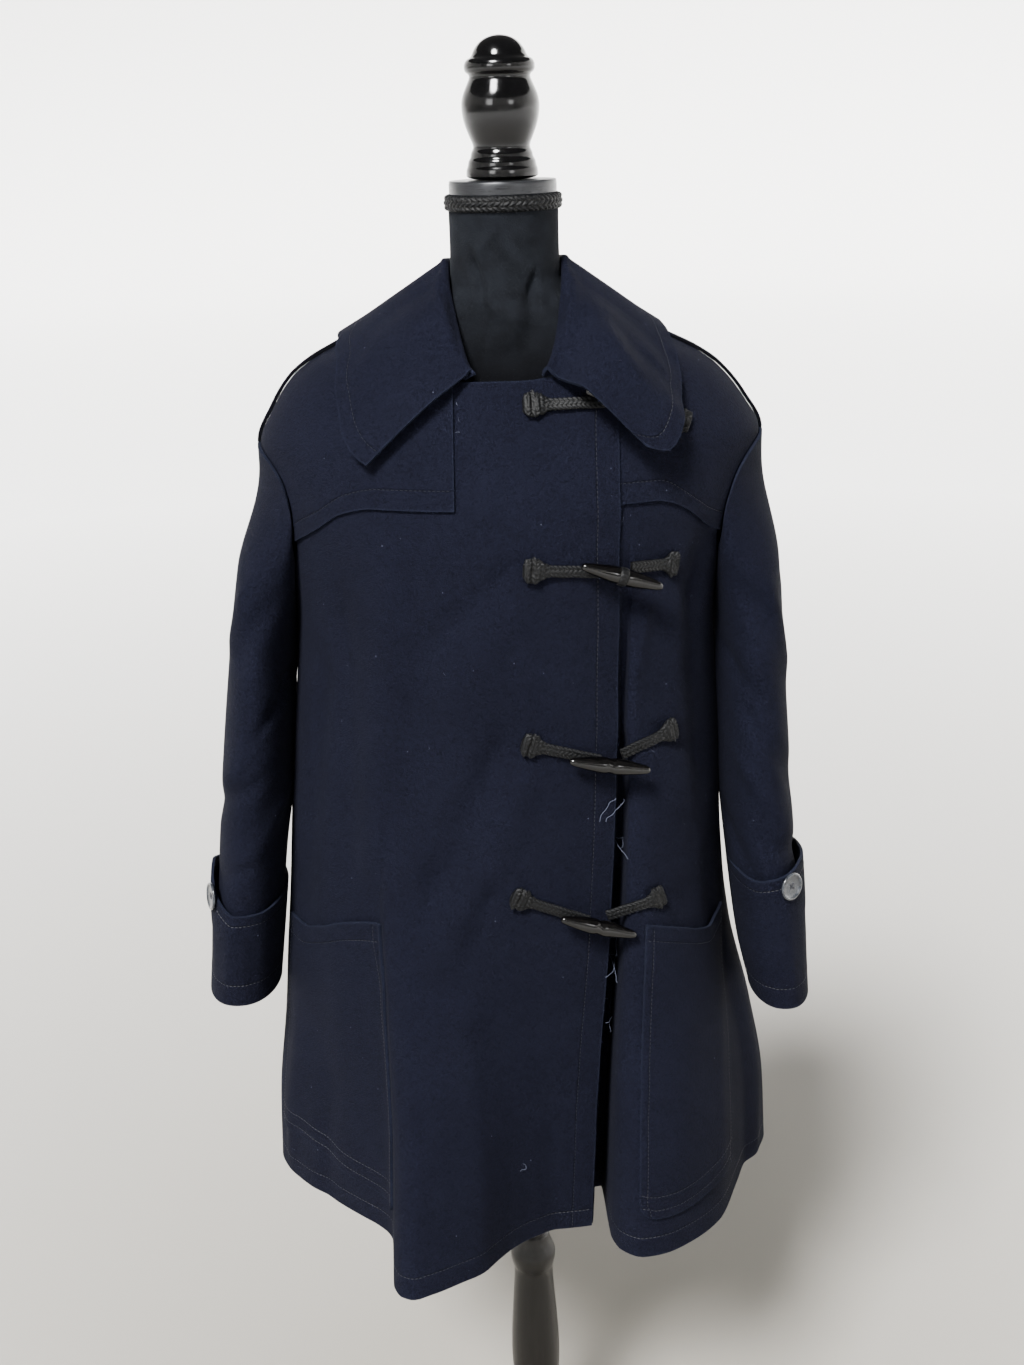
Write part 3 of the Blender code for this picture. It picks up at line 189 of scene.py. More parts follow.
# The collar, from its front corner round to the middle of the back: the
# angle of its seam on the neckline, its roll line, and its outer edge.
COLLAR_COLUMNS = ("seam", "roll_x", "roll_front", "roll_z", "edge", "edge_z", "lift")
COLLAR_LEFT_OF_VIEW = (
    (10.5, 0.0340, 0.1130, 1.3910, 31.5, 1.3090, 0.014),
    (16.0, 0.0400, 0.1050, 1.4000, 35.2, 1.3180, 0.013),
    (24.0, 0.0460, 0.0840, 1.4180, 39.6, 1.3350, 0.011),
    (38.0, 0.0520, 0.0530, 1.4410, 43.5, 1.3570, 0.010),
    (60.0, 0.0565, 0.0275, 1.4630, 54.5, 1.3870, 0.008),
    (75.0, 0.0572, 0.0100, 1.4730, 67.0, 1.3970, 0.008),
    (90.0, 0.0574, -0.0040, 1.4790, 88.0, 1.4060, 0.008),
    (122.0, 0.0490, -0.0330, 1.4770, 125.0, 1.3870, 0.008),
    (151.0, 0.0285, -0.0540, 1.4780, 155.0, 1.3720, 0.008),
    (180.0, 0.0000, -0.0610, 1.4780, 180.0, 1.3660, 0.008),
)
COLLAR_RIGHT_OF_VIEW = (
    (10.5, 0.0350, 0.1150, 1.3900, 27.6, 1.3160, 0.031),
    (16.0, 0.0410, 0.1060, 1.4000, 32.0, 1.3120, 0.032),
    (24.0, 0.0480, 0.0850, 1.4150, 37.2, 1.3270, 0.031),
    (38.0, 0.0530, 0.0530, 1.4400, 43.0, 1.3530, 0.018),
    (60.0, 0.0565, 0.0275, 1.4630, 55.0, 1.3840, 0.009),
    (75.0, 0.0572, 0.0100, 1.4730, 67.5, 1.3970, 0.008),
    (90.0, 0.0574, -0.0040, 1.4790, 88.0, 1.4070, 0.008),
    (122.0, 0.0490, -0.0330, 1.4770, 125.0, 1.3870, 0.008),
    (151.0, 0.0285, -0.0540, 1.4780, 155.0, 1.3720, 0.008),
    (180.0, 0.0000, -0.0610, 1.4780, 180.0, 1.3660, 0.008),
)

# The dress form's own section, where the coat does not rest on it.
FORM_COLUMNS = ("z", "half_width", "front", "back")
FORM_SECTIONS = (
    (0.790, 0.148, 0.094, 0.104),
    (0.800, 0.160, 0.103, 0.112),
    (0.860, 0.163, 0.106, 0.114),
    (0.940, 0.146, 0.098, 0.098),
    (1.010, 0.126, 0.092, 0.082),
    (1.100, 0.136, 0.104, 0.086),
    (1.190, 0.158, 0.122, 0.096),
    (1.260, 0.172, 0.120, 0.098),
    (1.320, 0.182, 0.104, 0.092),
    (1.365, 0.178, 0.086, 0.084),
    (1.400, 0.140, 0.072, 0.074),
    (1.425, 0.090, 0.062, 0.064),
    (1.445, 0.060, 0.056, 0.057),
    (1.465, 0.0522, 0.0525, 0.0525),
    (1.500, 0.0512, 0.0512, 0.0512),
    (1.5382, 0.0515, 0.0515, 0.0515),
)

# The fastenings, top to bottom: the knot of the toggle's cord, the knot of
# the loop's cord, and the two ends of the toggle, each as X and height; and
# how far the toggle is moved out from its cord to lie just clear of it.
FROG_COLUMNS = (
    "knot_x", "knot_z", "loop_x", "loop_z", "tip1_x", "tip1_z", "tip2_x", "tip2_z", "seat",
)
FROGS = (
    (0.0115, 1.3600, 0.1620, 1.3330, 0.0680, 1.3660, 0.1425, 1.3445, -0.0007),
    (0.0075, 1.2210, 0.1510, 1.2100, 0.0600, 1.2245, 0.1347, 1.1990, 0.0003),
    (0.0020, 1.0570, 0.1500, 1.0510, 0.0446, 1.0395, 0.1244, 1.0225, 0.0003),
    (-0.0120, 0.8980, 0.1370, 0.8860, 0.0324, 0.8765, 0.1122, 0.8485, 0.0002),
)

FINIAL_PROFILE = (
    (0.0000, 1.6752), (0.0095, 1.6738), (0.0175, 1.6695), (0.0232, 1.6625),
    (0.0256, 1.6560), (0.0300, 1.6545), (0.0325, 1.6500), (0.0322, 1.6440),
    (0.0270, 1.6405), (0.0305, 1.6330), (0.0350, 1.6230), (0.0362, 1.6140),
    (0.0345, 1.6010), (0.0300, 1.5890), (0.0256, 1.5795), (0.0285, 1.5740),
    (0.0290, 1.5700), (0.0312, 1.5670), (0.0318, 1.5625), (0.0334, 1.5590),
    (0.0334, 1.5505), (0.0000, 1.5505),
)
POST_PROFILE = (
    (0.0000, POST_TOP_Z), (0.0160, POST_TOP_Z), (0.0160, 0.4200), (0.0185, 0.4100),
    (0.0160, 0.4000), (0.0160, 0.3830), (0.0192, 0.3790), (0.0192, 0.3745),
    (0.0160, 0.3715), (0.0195, 0.3680), (0.0195, 0.3640), (0.0215, 0.3560),
    (0.0262, 0.3450), (0.0264, 0.3370), (0.0245, 0.3270), (0.0218, 0.3190),
    (0.0250, 0.2750), (0.0285, 0.2200), (0.0288, 0.1850), (0.0255, 0.1350),
    (0.0205, 0.1000), (0.0190, 0.0850), (0.0240, 0.0780), (0.0240, 0.0700),
    (0.0200, BASE_TOP_Z + GAP), (0.0000, BASE_TOP_Z + GAP),
)
BASE_PROFILE = (
    (0.0000, BASE_TOP_Z), (0.0320, BASE_TOP_Z), (0.0420, 0.0580), (0.0520, 0.0460),
    (0.0800, 0.0370), (0.1200, 0.0310), (0.1480, 0.0270), (0.1530, 0.0225),
    (0.1580, 0.0200), (0.1600, 0.0140), (0.1600, 0.0030), (0.1570, 0.0000),
    (0.0000, 0.0000),
)
PLATE_PROFILE = (
    (0.0000, 1.5502), (0.0490, 1.5502), (0.0502, 1.5490), (0.0502, 1.5388),
    (0.0498, 1.5385), (0.0000, 1.5385),
)
def column(table, names, name):
    return np.array([row[names.index(name)] for row in table], float)


def smooth(x, xs, ys):
    """A smooth curve through a table's points that does not overshoot them."""
    x = np.clip(np.asarray(x, float), xs[0], xs[-1])
    steps = np.diff(xs)
    slopes = np.diff(ys) / steps
    tangent = np.zeros(len(xs))
    tangent[0] = slopes[0]
    tangent[-1] = slopes[-1]
    same_way = slopes[:-1] * slopes[1:] > 0
    both = np.where(same_way, slopes[:-1] * slopes[1:], 0.0)
    total = np.where(same_way, slopes[:-1] + slopes[1:], 1.0)
    tangent[1:-1] = 2 * both / total
    i = np.clip(np.searchsorted(xs, x, side="right") - 1, 0, len(xs) - 2)
    h = steps[i]
    u = (x - xs[i]) / h
    return (
        ys[i] * (1 + 2 * u) * (1 - u) ** 2
        + ys[i + 1] * u * u * (3 - 2 * u)
        + h * tangent[i] * u * (1 - u) ** 2
        + h * tangent[i + 1] * u * u * (u - 1)
    )


def ease(low, high, x):
    u = np.clip((np.asarray(x, float) - low) / (high - low), 0.0, 1.0)
    return u * u * (3 - 2 * u)


def read_table(table, names, key, z):
    return smooth(z, column(table, names, names[0]), column(table, names, key))


def section(key, z):
    return read_table(SECTIONS, SECTION_COLUMNS, key, z)


def front_line(key, z):
    return read_table(FRONT_LINES, FRONT_LINE_COLUMNS, key, z)


# ---------------------------------------------------------------- the body's skin
def angle_at(x, z):
    """Degrees from the middle of the front where the skin has this X."""
    ratio = (x - section("shift", z)) / section("half_width", z)
    return np.degrees(np.arcsin(np.clip(ratio, -1.0, 1.0)))


def flute_reach(angle, z):
    """How far the front's flutes move the skin forward."""
    total = np.zeros(np.broadcast(angle, z).shape)
    flutes = (
        ("pocket_left", FLUTE_AT_POCKET, FLUTE_AT_POCKET_TOP),
        ("top_edge", FLUTE_AT_EDGE, FLUTE_AT_EDGE_TOP),
    )
    for line, table, top in flutes:
        offset = angle - angle_at(front_line(line, z), z)
        rise = np.clip((z - HEM_Z) / (top - HEM_Z), 0.0, 1.0)
        reach = read_table(table, FLUTE_COLUMNS, "reach", offset)
        total = total + reach * (1 - rise) ** 1.3
    return total * ease(128.0, 92.0, np.abs(angle))


def fold_reach(angle, z):
    """How far the back's hanging folds move the skin outward."""
    total = np.zeros(np.broadcast(angle, z).shape)
    for centre, left, right, reach, top, turn in FOLDS:
        rise = np.clip((z - HEM_Z) / (top - HEM_Z), 0.0, 1.0)
        away = (angle - centre - turn * rise + 180.0) % 360.0 - 180.0
        width = np.where(away < 0, left, right) * (1 + 0.5 * rise)
        total = total + reach * (1 - rise) ** 1.3 * np.exp(-(away / width) ** 2)
    return total


def plain_skin(angle, z):
    """A point of the body's smooth outer face, with no folds."""
    t = np.radians(angle)
    side = np.cos(t)
    depth = np.where(
        side >= 0,
        section("front", z) * np.abs(side) ** section("point", z),
        -section("back", z) * np.abs(side),
    )
    x = section("shift", z) + section("half_width", z) * np.sin(t)
    return np.stack(np.broadcast_arrays(x, -depth, z), -1)


def signed(angle):
    return (np.asarray(angle, float) + 180.0) % 360.0 - 180.0


def skin(angle, z, lift=0.0):
    """A point of the body's outer face, or of a layer that lies off it."""
    angle = np.asarray(angle, float)
    z = np.asarray(z, float)

    def bare(a, h):
        point = plain_skin(a, h)
        out = point - np.stack(np.broadcast_arrays(section("shift", h), 0.0, h), -1)
        out = out / np.linalg.norm(out, axis=-1, keepdims=True)
        forward = np.array([0.0, -1.0, 0.0]) * flute_reach(signed(a), h)[..., None]
        return point + out * fold_reach(a, h)[..., None] + forward

    point = bare(angle, z)
    turn, rise = 0.8, 0.004
    across = bare(angle + turn, z) - bare(angle - turn, z)
    up = bare(angle, np.minimum(z + rise, 1.462)) - bare(angle, z - rise)
    normal = np.cross(across, up)
    normal /= np.linalg.norm(normal, axis=-1, keepdims=True)
    return point + normal * np.asarray(lift, float)[..., None]


def front_point(x, z, lift):
    return skin(angle_at(x, z), np.asarray(z, float), lift)


# Rows of the body's grid, bottom to top: height at the middle of the front
# and at the side. Pockets, yokes and armholes begin and end on rows.
ROWS = (
    (HEM_Z, HEM_Z),
    (0.526, 0.548),
    (0.610, 0.620),
    (0.692, 0.690),
    (0.775, 0.755),
    (0.857, 0.816),
    (0.930, 0.900),
    (1.010, 0.985),
    (1.090, 1.065),
)
ROW_POCKET_BOTTOM = 1
ROW_POCKET_TOP = 5
# Heights at the middle of the front for the rows that meet the armhole.
ARMHOLE_ROWS_MIDDLE = (1.150, 1.180, 1.210, 1.240, 1.272, 1.296, 1.312, 1.324, 1.333, 1.340)
SHOULDER_ROWS = 5
FIRST_ARMHOLE_ROW = len(ROWS)
LAST_ARMHOLE_ROW = FIRST_ARMHOLE_ROW + len(ARMHOLE) - 1
ROW_YOKE = FIRST_ARMHOLE_ROW + 4
ROW_COUNT = LAST_ARMHOLE_ROW + 1 + SHOULDER_ROWS + 1

# Columns of the front, from the side at -X to the side at +X.
POCKET_LEFT_OUTER, POCKET_LEFT_INNER = 1, 5
UNDER_EDGE, TOP_EDGE = 10, 14
POCKET_RIGHT_INNER, POCKET_RIGHT_OUTER = 18, 22
FRONT_COLUMNS_COUNT = 25
TOP_EDGE_MOST = 44.0    # degrees: the top front's edge under the collar
# Shares of the way from the pocket at -X to the under front's edge where the
# columns lie, at the hem and above the flute; and degrees past the top edge.
FLUTE_SHARES = (0.045, 0.16, 0.42, 0.72)
EVEN_SHARES = (0.20, 0.40, 0.60, 0.80)
EDGE_OFFSETS = (1.6, 3.1, 4.3)
BACK_COLUMNS_COUNT = 17


def row_heights(row):
    """Height of a row at the middle of the front and at the side."""
    if row < FIRST_ARMHOLE_ROW:
        return ROWS[row]
    if row <= LAST_ARMHOLE_ROW:
        k = row - FIRST_ARMHOLE_ROW
        return ARMHOLE_ROWS_MIDDLE[k], ARMHOLE[k][0]
    return ARMHOLE_ROWS_MIDDLE[-1], SHOULDER_TIP_Z


def neckline_height(angle):
    away = abs((angle + 180.0) % 360.0 - 180.0)
    return float(read_table(NECKLINE, NECKLINE_COLUMNS, "z", away))


def row_height(row, angle):
    """Height of a row at an angle; the last row is the neckline."""
    if row == ROW_COUNT - 1:
        return neckline_height(angle)
    middle, side = row_heights(row)
    away = abs((angle + 180.0) % 360.0 - 180.0)
    turned_to_side = float(ease(33.0, 68.0, away))
    height = middle + (side - middle) * turned_to_side
    if row > LAST_ARMHOLE_ROW:
        top = neckline_height(angle)
        below = SHOULDER_TIP_Z + (ARMHOLE_ROWS_MIDDLE[-1] - SHOULDER_TIP_Z) * (1 - turned_to_side)
        share = (row - LAST_ARMHOLE_ROW) / (ROW_COUNT - 1 - LAST_ARMHOLE_ROW)
        bend = share ** (1.0 - 0.22 * turned_to_side)
        height = below + (top - below) * bend
    return height


def side_angle(row, key):
    """Where a row ends: at the side seam, the armhole or the shoulder seam."""
    if FIRST_ARMHOLE_ROW <= row <= LAST_ARMHOLE_ROW:
        return ARMHOLE[row - FIRST_ARMHOLE_ROW][ARMHOLE_COLUMNS.index(key)]
    return 90.0


def front_angle(row, column_index, z):
    """The angle of a column of the front's grid in a row, at this height."""
    side = side_angle(row, "front_angle")
    edge = min(float(angle_at(front_line("top_edge", z), z)), TOP_EDGE_MOST)
    inner = float(angle_at(front_line("pocket_left", z), z))
    under = float(angle_at(front_line("under_edge", z), z))
    outer = float(angle_at(front_line("pocket_right", z), z))
    anchors = {
        0: -side,
        POCKET_LEFT_OUTER: -side + 14.0,
        POCKET_LEFT_INNER: inner,
        UNDER_EDGE: under,
        TOP_EDGE: edge,
        TOP_EDGE + 1: edge + EDGE_OFFSETS[0],
        TOP_EDGE + 2: edge + EDGE_OFFSETS[1],
        TOP_EDGE + 3: edge + EDGE_OFFSETS[2],
        POCKET_RIGHT_INNER: edge + 10.0,
        POCKET_RIGHT_OUTER: max(min(outer, side - 6.0), edge + 16.0),
        FRONT_COLUMNS_COUNT - 1: side,
    }
    low = float(ease(0.95, 0.60, z))
    for k, (flute, even) in enumerate(zip(FLUTE_SHARES, EVEN_SHARES), start=1):
        share = even + (flute - even) * low
        anchors[POCKET_LEFT_INNER + k] = inner + (under - inner) * share
    keys = sorted(anchors)
    return float(np.interp(column_index, keys, [anchors[key] for key in keys]))


def settle(row, find_angle):
    """An angle and a height that agree, since each depends on the other."""
    z = row_heights(min(row, ROW_COUNT - 2))[0]
    for _ in range(12):
        angle = find_angle(z)
        z = 0.5 * z + 0.5 * row_height(row, angle)
    return find_angle(z), z


def front_grid(first, last):
    """Angles and heights of the front's grid between two columns."""
    cells = [
        [settle(row, lambda z, r=row, c=c: front_angle(r, c, z)) for c in range(first, last + 1)]
        for row in range(ROW_COUNT)
    ]
    return np.array(cells).transpose(2, 0, 1)


def back_grid():
    cells = []
    for row in range(ROW_COUNT):
        start = side_angle(row, "back_angle")
        angles = np.linspace(start, 360.0 - start, BACK_COLUMNS_COUNT)
        cells.append([(angle, row_height(row, angle)) for angle in angles])
    return np.array(cells).transpose(2, 0, 1)


def armhole_ring(side):
    """The armhole's edge on one side, from the armpit up the front and down the back."""
    up = [(front, z) for z, front, _ in ARMHOLE]
    down = [(back, z) for z, _, back in ARMHOLE[1:-1]][::-1]
    angles, heights = np.array(up + down).T
    return side * angles, heights


def sleeve_ring(table, side, turn, z, swell):
    """A point of a sleeve: turn 0 is its inner side and 90 its front."""
    out = read_table(table, SLEEVE_COLUMNS, "out", z)
    inside = read_table(table, SLEEVE_COLUMNS, "in", z)
    forward = read_table(table, SLEEVE_COLUMNS, "forward", z)
    depth = read_table(table, SLEEVE_COLUMNS, "half_depth", z)
    t = np.radians(turn)
    middle, half = (out + inside) / 2, (out - inside) / 2 - WALL / 2
    x = side * (middle - (half + swell) * np.sign(np.cos(t)) * np.abs(np.cos(t)) ** 0.9)
    y = -(forward + (depth + swell) * np.sin(t))
    return np.stack(np.broadcast_arrays(x, y, z), -1)


# Each cuff: the height of its edge, its raised point (degrees round from the
# inner side, height and half width), and where its button sits.
CUFF_COLUMNS = (
    "height", "point_turn", "point_rise", "point_width", "button_turn", "button_height", "button_lift",
)
CUFF_LEFT_OF_VIEW = (0.108, 178.0, 0.034, 75.0, 141.0, 0.119, 0.0005)
CUFF_RIGHT_OF_VIEW = (0.150, 140.0, 0.012, 70.0, 113.0, 0.143, -0.0001)
CUFF_STANDOFF = 0.0045


def cuff_value(cuff, name):
    return cuff[CUFF_COLUMNS.index(name)]


def cuff_stand(turns, share):
    """How far the cuff's middle is off the sleeve's: its top edge stands away."""
    from_body = ease(25.0, 85.0, np.abs((turns + 180.0) % 360.0 - 180.0))
    return LAYER + 0.0004 + CUFF_STANDOFF * ease(0.10, 1.0, share) * from_body


def button_seat(side, table, cuff):
    """Where a cuff's button sits, and the way that it faces."""
    turn = cuff_value(cuff, "button_turn")
    height = cuff_value(cuff, "button_height")
    share = height / cuff_value(cuff, "height")
    z = table[0][0] + height

    def face(at_turn, at_z):
        swell = cuff_stand(np.float64(at_turn), share) + WALL / 2
        return sleeve_ring(table, side, at_turn, at_z, swell)

    point = face(turn, z)
    across = face(turn + 4.0, z) - face(turn - 4.0, z)
    up = face(turn, z + 0.01) - face(turn, z - 0.01)
    normal = np.cross(across, up)
    normal /= np.linalg.norm(normal)
    if normal[0] * side < 0:
        normal = -normal
    return point, normal


def outside_by(point):
    """Roughly how far a point near the shoulders is outside the body's skin."""
    def level(p):
        z = np.clip(p[..., 2], 1.2, 1.462)
        x = (p[..., 0] - section("shift", z)) / section("half_width", z)
        depth = np.where(p[..., 1] < 0, section("front", z), section("back", z))
        over = np.maximum(p[..., 2] - 1.462, 0.0) / 0.05
        return np.sqrt(x * x + (p[..., 1] / depth) ** 2) + over

    step = 0.0005
    slope = np.stack(
        [(level(point + step * axis) - level(point - step * axis)) / (2 * step) for axis in np.eye(3)],
        -1,
    )
    size = np.linalg.norm(slope, axis=-1)
    return (level(point) - 1) / size, slope / size[..., None]


def push_out(points, lift):
    """Moves points outward until they are at least this far off the skin."""
    for _ in range(6):
        distance, way = outside_by(points)
        short = np.maximum(lift - distance, 0.0)
        points = points + way * short[..., None]
    return points


COLLAR_FALL = (0.0, 0.10, 0.28, 0.50, 0.75, 1.0)
COLLAR_START = 10.5     # degrees: the collar's two front corners
COLLAR_ROLL = 0.0037    # radius of the roll, at the middle of the cloth


def collar_stack(side, angle):
    """How many layers of cloth lie under the collar's seam."""
    return 2.0 - float(ease(TOP_EDGE_MOST, 58.0, angle)) if side > 0 else 1.0


def collar_station(table, side, angle):
    """The collar's line from its seam over the roll to its edge, at a seam angle."""
    value = {key: float(read_table(table, COLLAR_COLUMNS, key, angle)) for key in COLLAR_COLUMNS}
    under = LAYER * collar_stack(side, angle)
    seam = skin(side * angle, neckline_height(angle) + 0.0029, (under - WALL) / 2)
    edge = skin(side * value["edge"], value["edge_z"], value["lift"] + WALL / 2)
    roll = np.array([side * value["roll_x"], -value["roll_front"], value["roll_z"]])
    roll[2] = max(roll[2], seam[2] + 2.3 * COLLAR_ROLL)
    away = (edge - roll) * (1.0, 1.0, 0.0)
    away *= COLLAR_ROLL / np.linalg.norm(away)
    down = np.array([0.0, 0.0, -COLLAR_ROLL])
    stand = [seam, (seam + roll - away + down) / 2, roll - away + down]
    start = roll + away + down
    fall = np.array([start + (edge - start) * s for s in COLLAR_FALL])
    least = max(COLLAR_LIFT, under + GAP)
    room = least + max(value["lift"] - least, 0.0) * ease(0.0, 0.36, np.array(COLLAR_FALL)) + WALL / 2
    fall = push_out(fall, room)
    return np.concatenate([stand, [roll], fall])


CORD_LEAVES_CLOTH = 0.30
CORD_CLEAR = 0.0006
def cloth_height(x, z):
    """How far the outermost cloth lies off the skin where a cord crosses the front."""
    edge = front_line("top_edge", z)
    on_top = LAYER * ease(-0.070, -0.030, x)
    over_yoke = LAYER * ease(1.230, 1.262, z) * ease(edge - 0.064, edge - 0.034, x)
    return on_top * ease(edge + 0.011, edge + 0.002, x) + over_yoke


TOGGLE_PROFILE = (
    (0.00, 0.500), (0.34, 0.492), (0.52, 0.440), (0.74, 0.300), (0.92, 0.170),
    (1.00, 0.060), (0.80, 0.000), (1.00, -0.060), (0.92, -0.170), (0.74, -0.300),
    (0.52, -0.440), (0.34, -0.492), (0.00, -0.500),
)


def form_point(turns, z):
    """The form's surface: its own section, or just under the coat on the shoulders."""
    half = read_table(FORM_SECTIONS, FORM_COLUMNS, "half_width", z)
    front = read_table(FORM_SECTIONS, FORM_COLUMNS, "front", z)
    back = read_table(FORM_SECTIONS, FORM_COLUMNS, "back", z)
    t = np.radians(turns)
    own = np.stack(
        [half * np.sin(t), -np.where(np.cos(t) > 0, front, back) * np.cos(t), np.full(t.shape, z)],
        -1,
    )
    on_shoulder = float(ease(1.360, 1.385, z) * ease(1.440, 1.424, z))
    weight = on_shoulder * ease(0.62, 0.92, np.abs(np.sin(t)))
    clear = 0.0010 + 0.022 * np.cos(t) ** 2
    under = skin(turns, np.full(t.shape, min(z, 1.45)), -WALL - clear)
    return own + (under - own) * weight[:, None]


# ---------------------------------------------------------------- soft folds
# Ridges (depth over 0) and troughs, listed one by one: from (degrees, height) to
# (degrees, height), with their width and depth in metres.
BODY_FOLDS = (
    # the wearer's right front
    (-36, 0.940, -32, 1.215, 0.026, 0.0042), (-47, 1.16, -44, 0.93, 0.022, -0.0030),
    (-58, 1.08, -66, 0.84, 0.026, -0.0042), (-24, 1.19, -21, 0.98, 0.024, -0.0020),
    (-3, 1.045, -17, 0.905, 0.016, -0.0036), (-17, 0.905, -22, 0.80, 0.020, -0.0024),
    (4, 1.010, -8, 0.880, 0.016, 0.0022), (-2, 1.212, -19, 1.150, 0.013, -0.0022),
    (0, 1.175, -13, 1.090, 0.018, 0.0016), (-5, 0.888, -13, 0.800, 0.014, -0.0028),
    (8, 1.215, 12, 1.130, 0.012, -0.0014), (-14, 1.345, -20, 1.255, 0.022, -0.0018),
    (-70, 0.52, -64, 0.66, 0.018, 0.0028), (-52, 0.50, -49, 0.64, 0.016, -0.0024),
    # the wearer's left front
    (58, 1.19, 64, 0.99, 0.022, -0.0044), (48, 1.20, 52, 1.00, 0.020, 0.0030),
    (45, 1.206, 60, 1.168, 0.011, -0.0024), (44, 1.176, 56, 1.132, 0.013, 0.0018),
    (44, 1.048, 60, 1.008, 0.012, -0.0028), (41, 1.020, 54, 0.965, 0.016, 0.0022),
    (40, 0.884, 52, 0.868, 0.011, -0.0020), (64, 0.88, 68, 0.70, 0.020, -0.0024),
    (70, 0.50, 74, 0.66, 0.020, 0.0030), (38, 1.165, 33, 1.060, 0.010, 0.0022),
    # the sides, which press against the sleeves
    (86, 1.080, 89, 0.880, 0.030, 0.0028), (-87, 1.130, -90, 0.950, 0.028, 0.0020),
    # the back
    (106, 1.12, 118, 0.88, 0.026, -0.0042), (122, 1.17, 132, 0.97, 0.022, 0.0032),
    (146, 1.25, 150, 0.99, 0.024, -0.0030), (160, 1.30, 170, 1.22, 0.018, 0.0020),
    (186, 1.24, 182, 0.90, 0.026, -0.0028), (200, 1.31, 192, 1.24, 0.016, 0.0022),
    (216, 1.22, 214, 0.96, 0.022, 0.0028), (236, 1.17, 228, 0.95, 0.024, -0.0034),
    (254, 1.11, 244, 0.84, 0.026, -0.0038), (142, 0.50, 146, 0.72, 0.020, -0.0032),
    (182, 0.49, 184, 0.68, 0.022, -0.0034), (221, 0.49, 219, 0.70, 0.020, -0.0030),
)
RIGHT_SLEEVE_FOLDS = (
    (60, 1.205, 105, 1.120, 0.014, -0.0038), (95, 1.225, 140, 1.130, 0.012, 0.0022),
    (30, 1.080, 95, 1.010, 0.012, -0.0034), (60, 1.040, 130, 0.985, 0.010, 0.0024),
    (80, 0.985, 165, 0.945, 0.011, -0.0026), (20, 0.960, 80, 0.905, 0.012, 0.0020),
    (90, 0.890, 150, 0.868, 0.009, -0.0022), (230, 1.190, 290, 1.090, 0.015, -0.0036),
    (215, 1.080, 300, 1.030, 0.013, -0.0032), (240, 1.020, 310, 0.975, 0.011, 0.0026),
    (210, 0.930, 280, 0.900, 0.012, -0.0024), (190, 1.160, 205, 1.040, 0.014, 0.0022),
    (3, 1.130, -2, 0.950, 0.026, 0.0020),
)
LEFT_SLEEVE_FOLDS = (
    (50, 1.215, 100, 1.135, 0.013, -0.0036), (90, 1.200, 150, 1.090, 0.014, 0.0026),
    (40, 1.095, 100, 1.045, 0.012, -0.0030), (70, 1.040, 150, 0.960, 0.013, -0.0036),
    (60, 0.985, 120, 0.925, 0.012, 0.0026), (95, 0.905, 170, 0.880, 0.010, -0.0026),
    (20, 0.915, 70, 0.860, 0.012, -0.0022), (225, 1.200, 285, 1.120, 0.014, -0.0032),
    (230, 1.060, 305, 1.000, 0.013, -0.0034), (215, 1.010, 290, 0.960, 0.010, 0.0024),
    (240, 0.925, 300, 0.880, 0.011, -0.0026), (180, 1.150, 195, 1.020, 0.015, 0.0020),
    (3, 1.090, -3, 0.880, 0.030, 0.0028),
)
CUFF_FOLDS = (
    (70, 0.73, 78, 0.83, 0.010, -0.0012), (110, 0.74, 104, 0.82, 0.009, 0.0010),
    (150, 0.73, 158, 0.80, 0.011, -0.0013), (215, 0.74, 205, 0.83, 0.011, -0.0012),
    (262, 0.73, 270, 0.82, 0.010, 0.0012), (310, 0.74, 302, 0.81, 0.010, -0.0010),
)
BODY_RADIUS = 0.205
SLEEVE_RADIUS = 0.058


FOLD_DEPTH = 1.35       # a factor on the depth of every fold


def soft_folds(folds, radius, angle, z):
    """How far the folds move the cloth outward at an angle and a height."""
    total = np.zeros(np.broadcast(angle, z).shape)
    for a0, z0, a1, z1, width, depth in folds:
        across = ((angle - a0 + 180.0) % 360.0 - 180.0) * math.pi / 180.0 * radius
        up = z - z0
        run = np.array([math.radians(a1 - a0) * radius, z1 - z0])
        length = np.linalg.norm(run)
        way = run / length
        along = (across * way[0] + up * way[1]) / length
        aside = np.abs(across * way[1] - up * way[0])
        beyond = np.maximum(np.abs(along - 0.5) - 0.5, 0.0) * length
        lean = width * (0.75 + 0.5 * np.clip(along, 0.0, 1.0))
        total = total + depth * np.exp(-(aside / lean) ** 2 - (beyond / (1.6 * width)) ** 2)
    return FOLD_DEPTH * total


# ---------------------------------------------------------------- materials
def colour(code):
    """An sRGB hex colour as linear values."""
    parts = [int(code[i:i + 2], 16) / 255 for i in (1, 3, 5)]
    linear = [c / 12.92 if c <= 0.04045 else ((c + 0.055) / 1.055) ** 2.4 for c in parts]
    return (*linear, 1.0)


def node(tree, kind, inputs=None, **settings):
    """Adds a node with its settings; an input is a value or another node's socket."""
    made = tree.nodes.new(kind)
    for key, value in settings.items():
        setattr(made, key, value)
    for key, value in (inputs or {}).items():
        if isinstance(value, bpy.types.NodeSocket):
            tree.links.new(value, made.inputs[key])
        else:
            made.inputs[key].default_value = value
    return made


def new_material(name, **values):
    material = bpy.data.materials.new(name)
    material.use_nodes = True
    shader = material.node_tree.nodes["Principled BSDF"]
    for key, value in values.items():
        shader.inputs[key.replace("_", " ")].default_value = value
    return material, material.node_tree, shader


def millimetres(size):
    """The scale of a texture whose pattern repeats at this size."""
    return 1000.0 / size


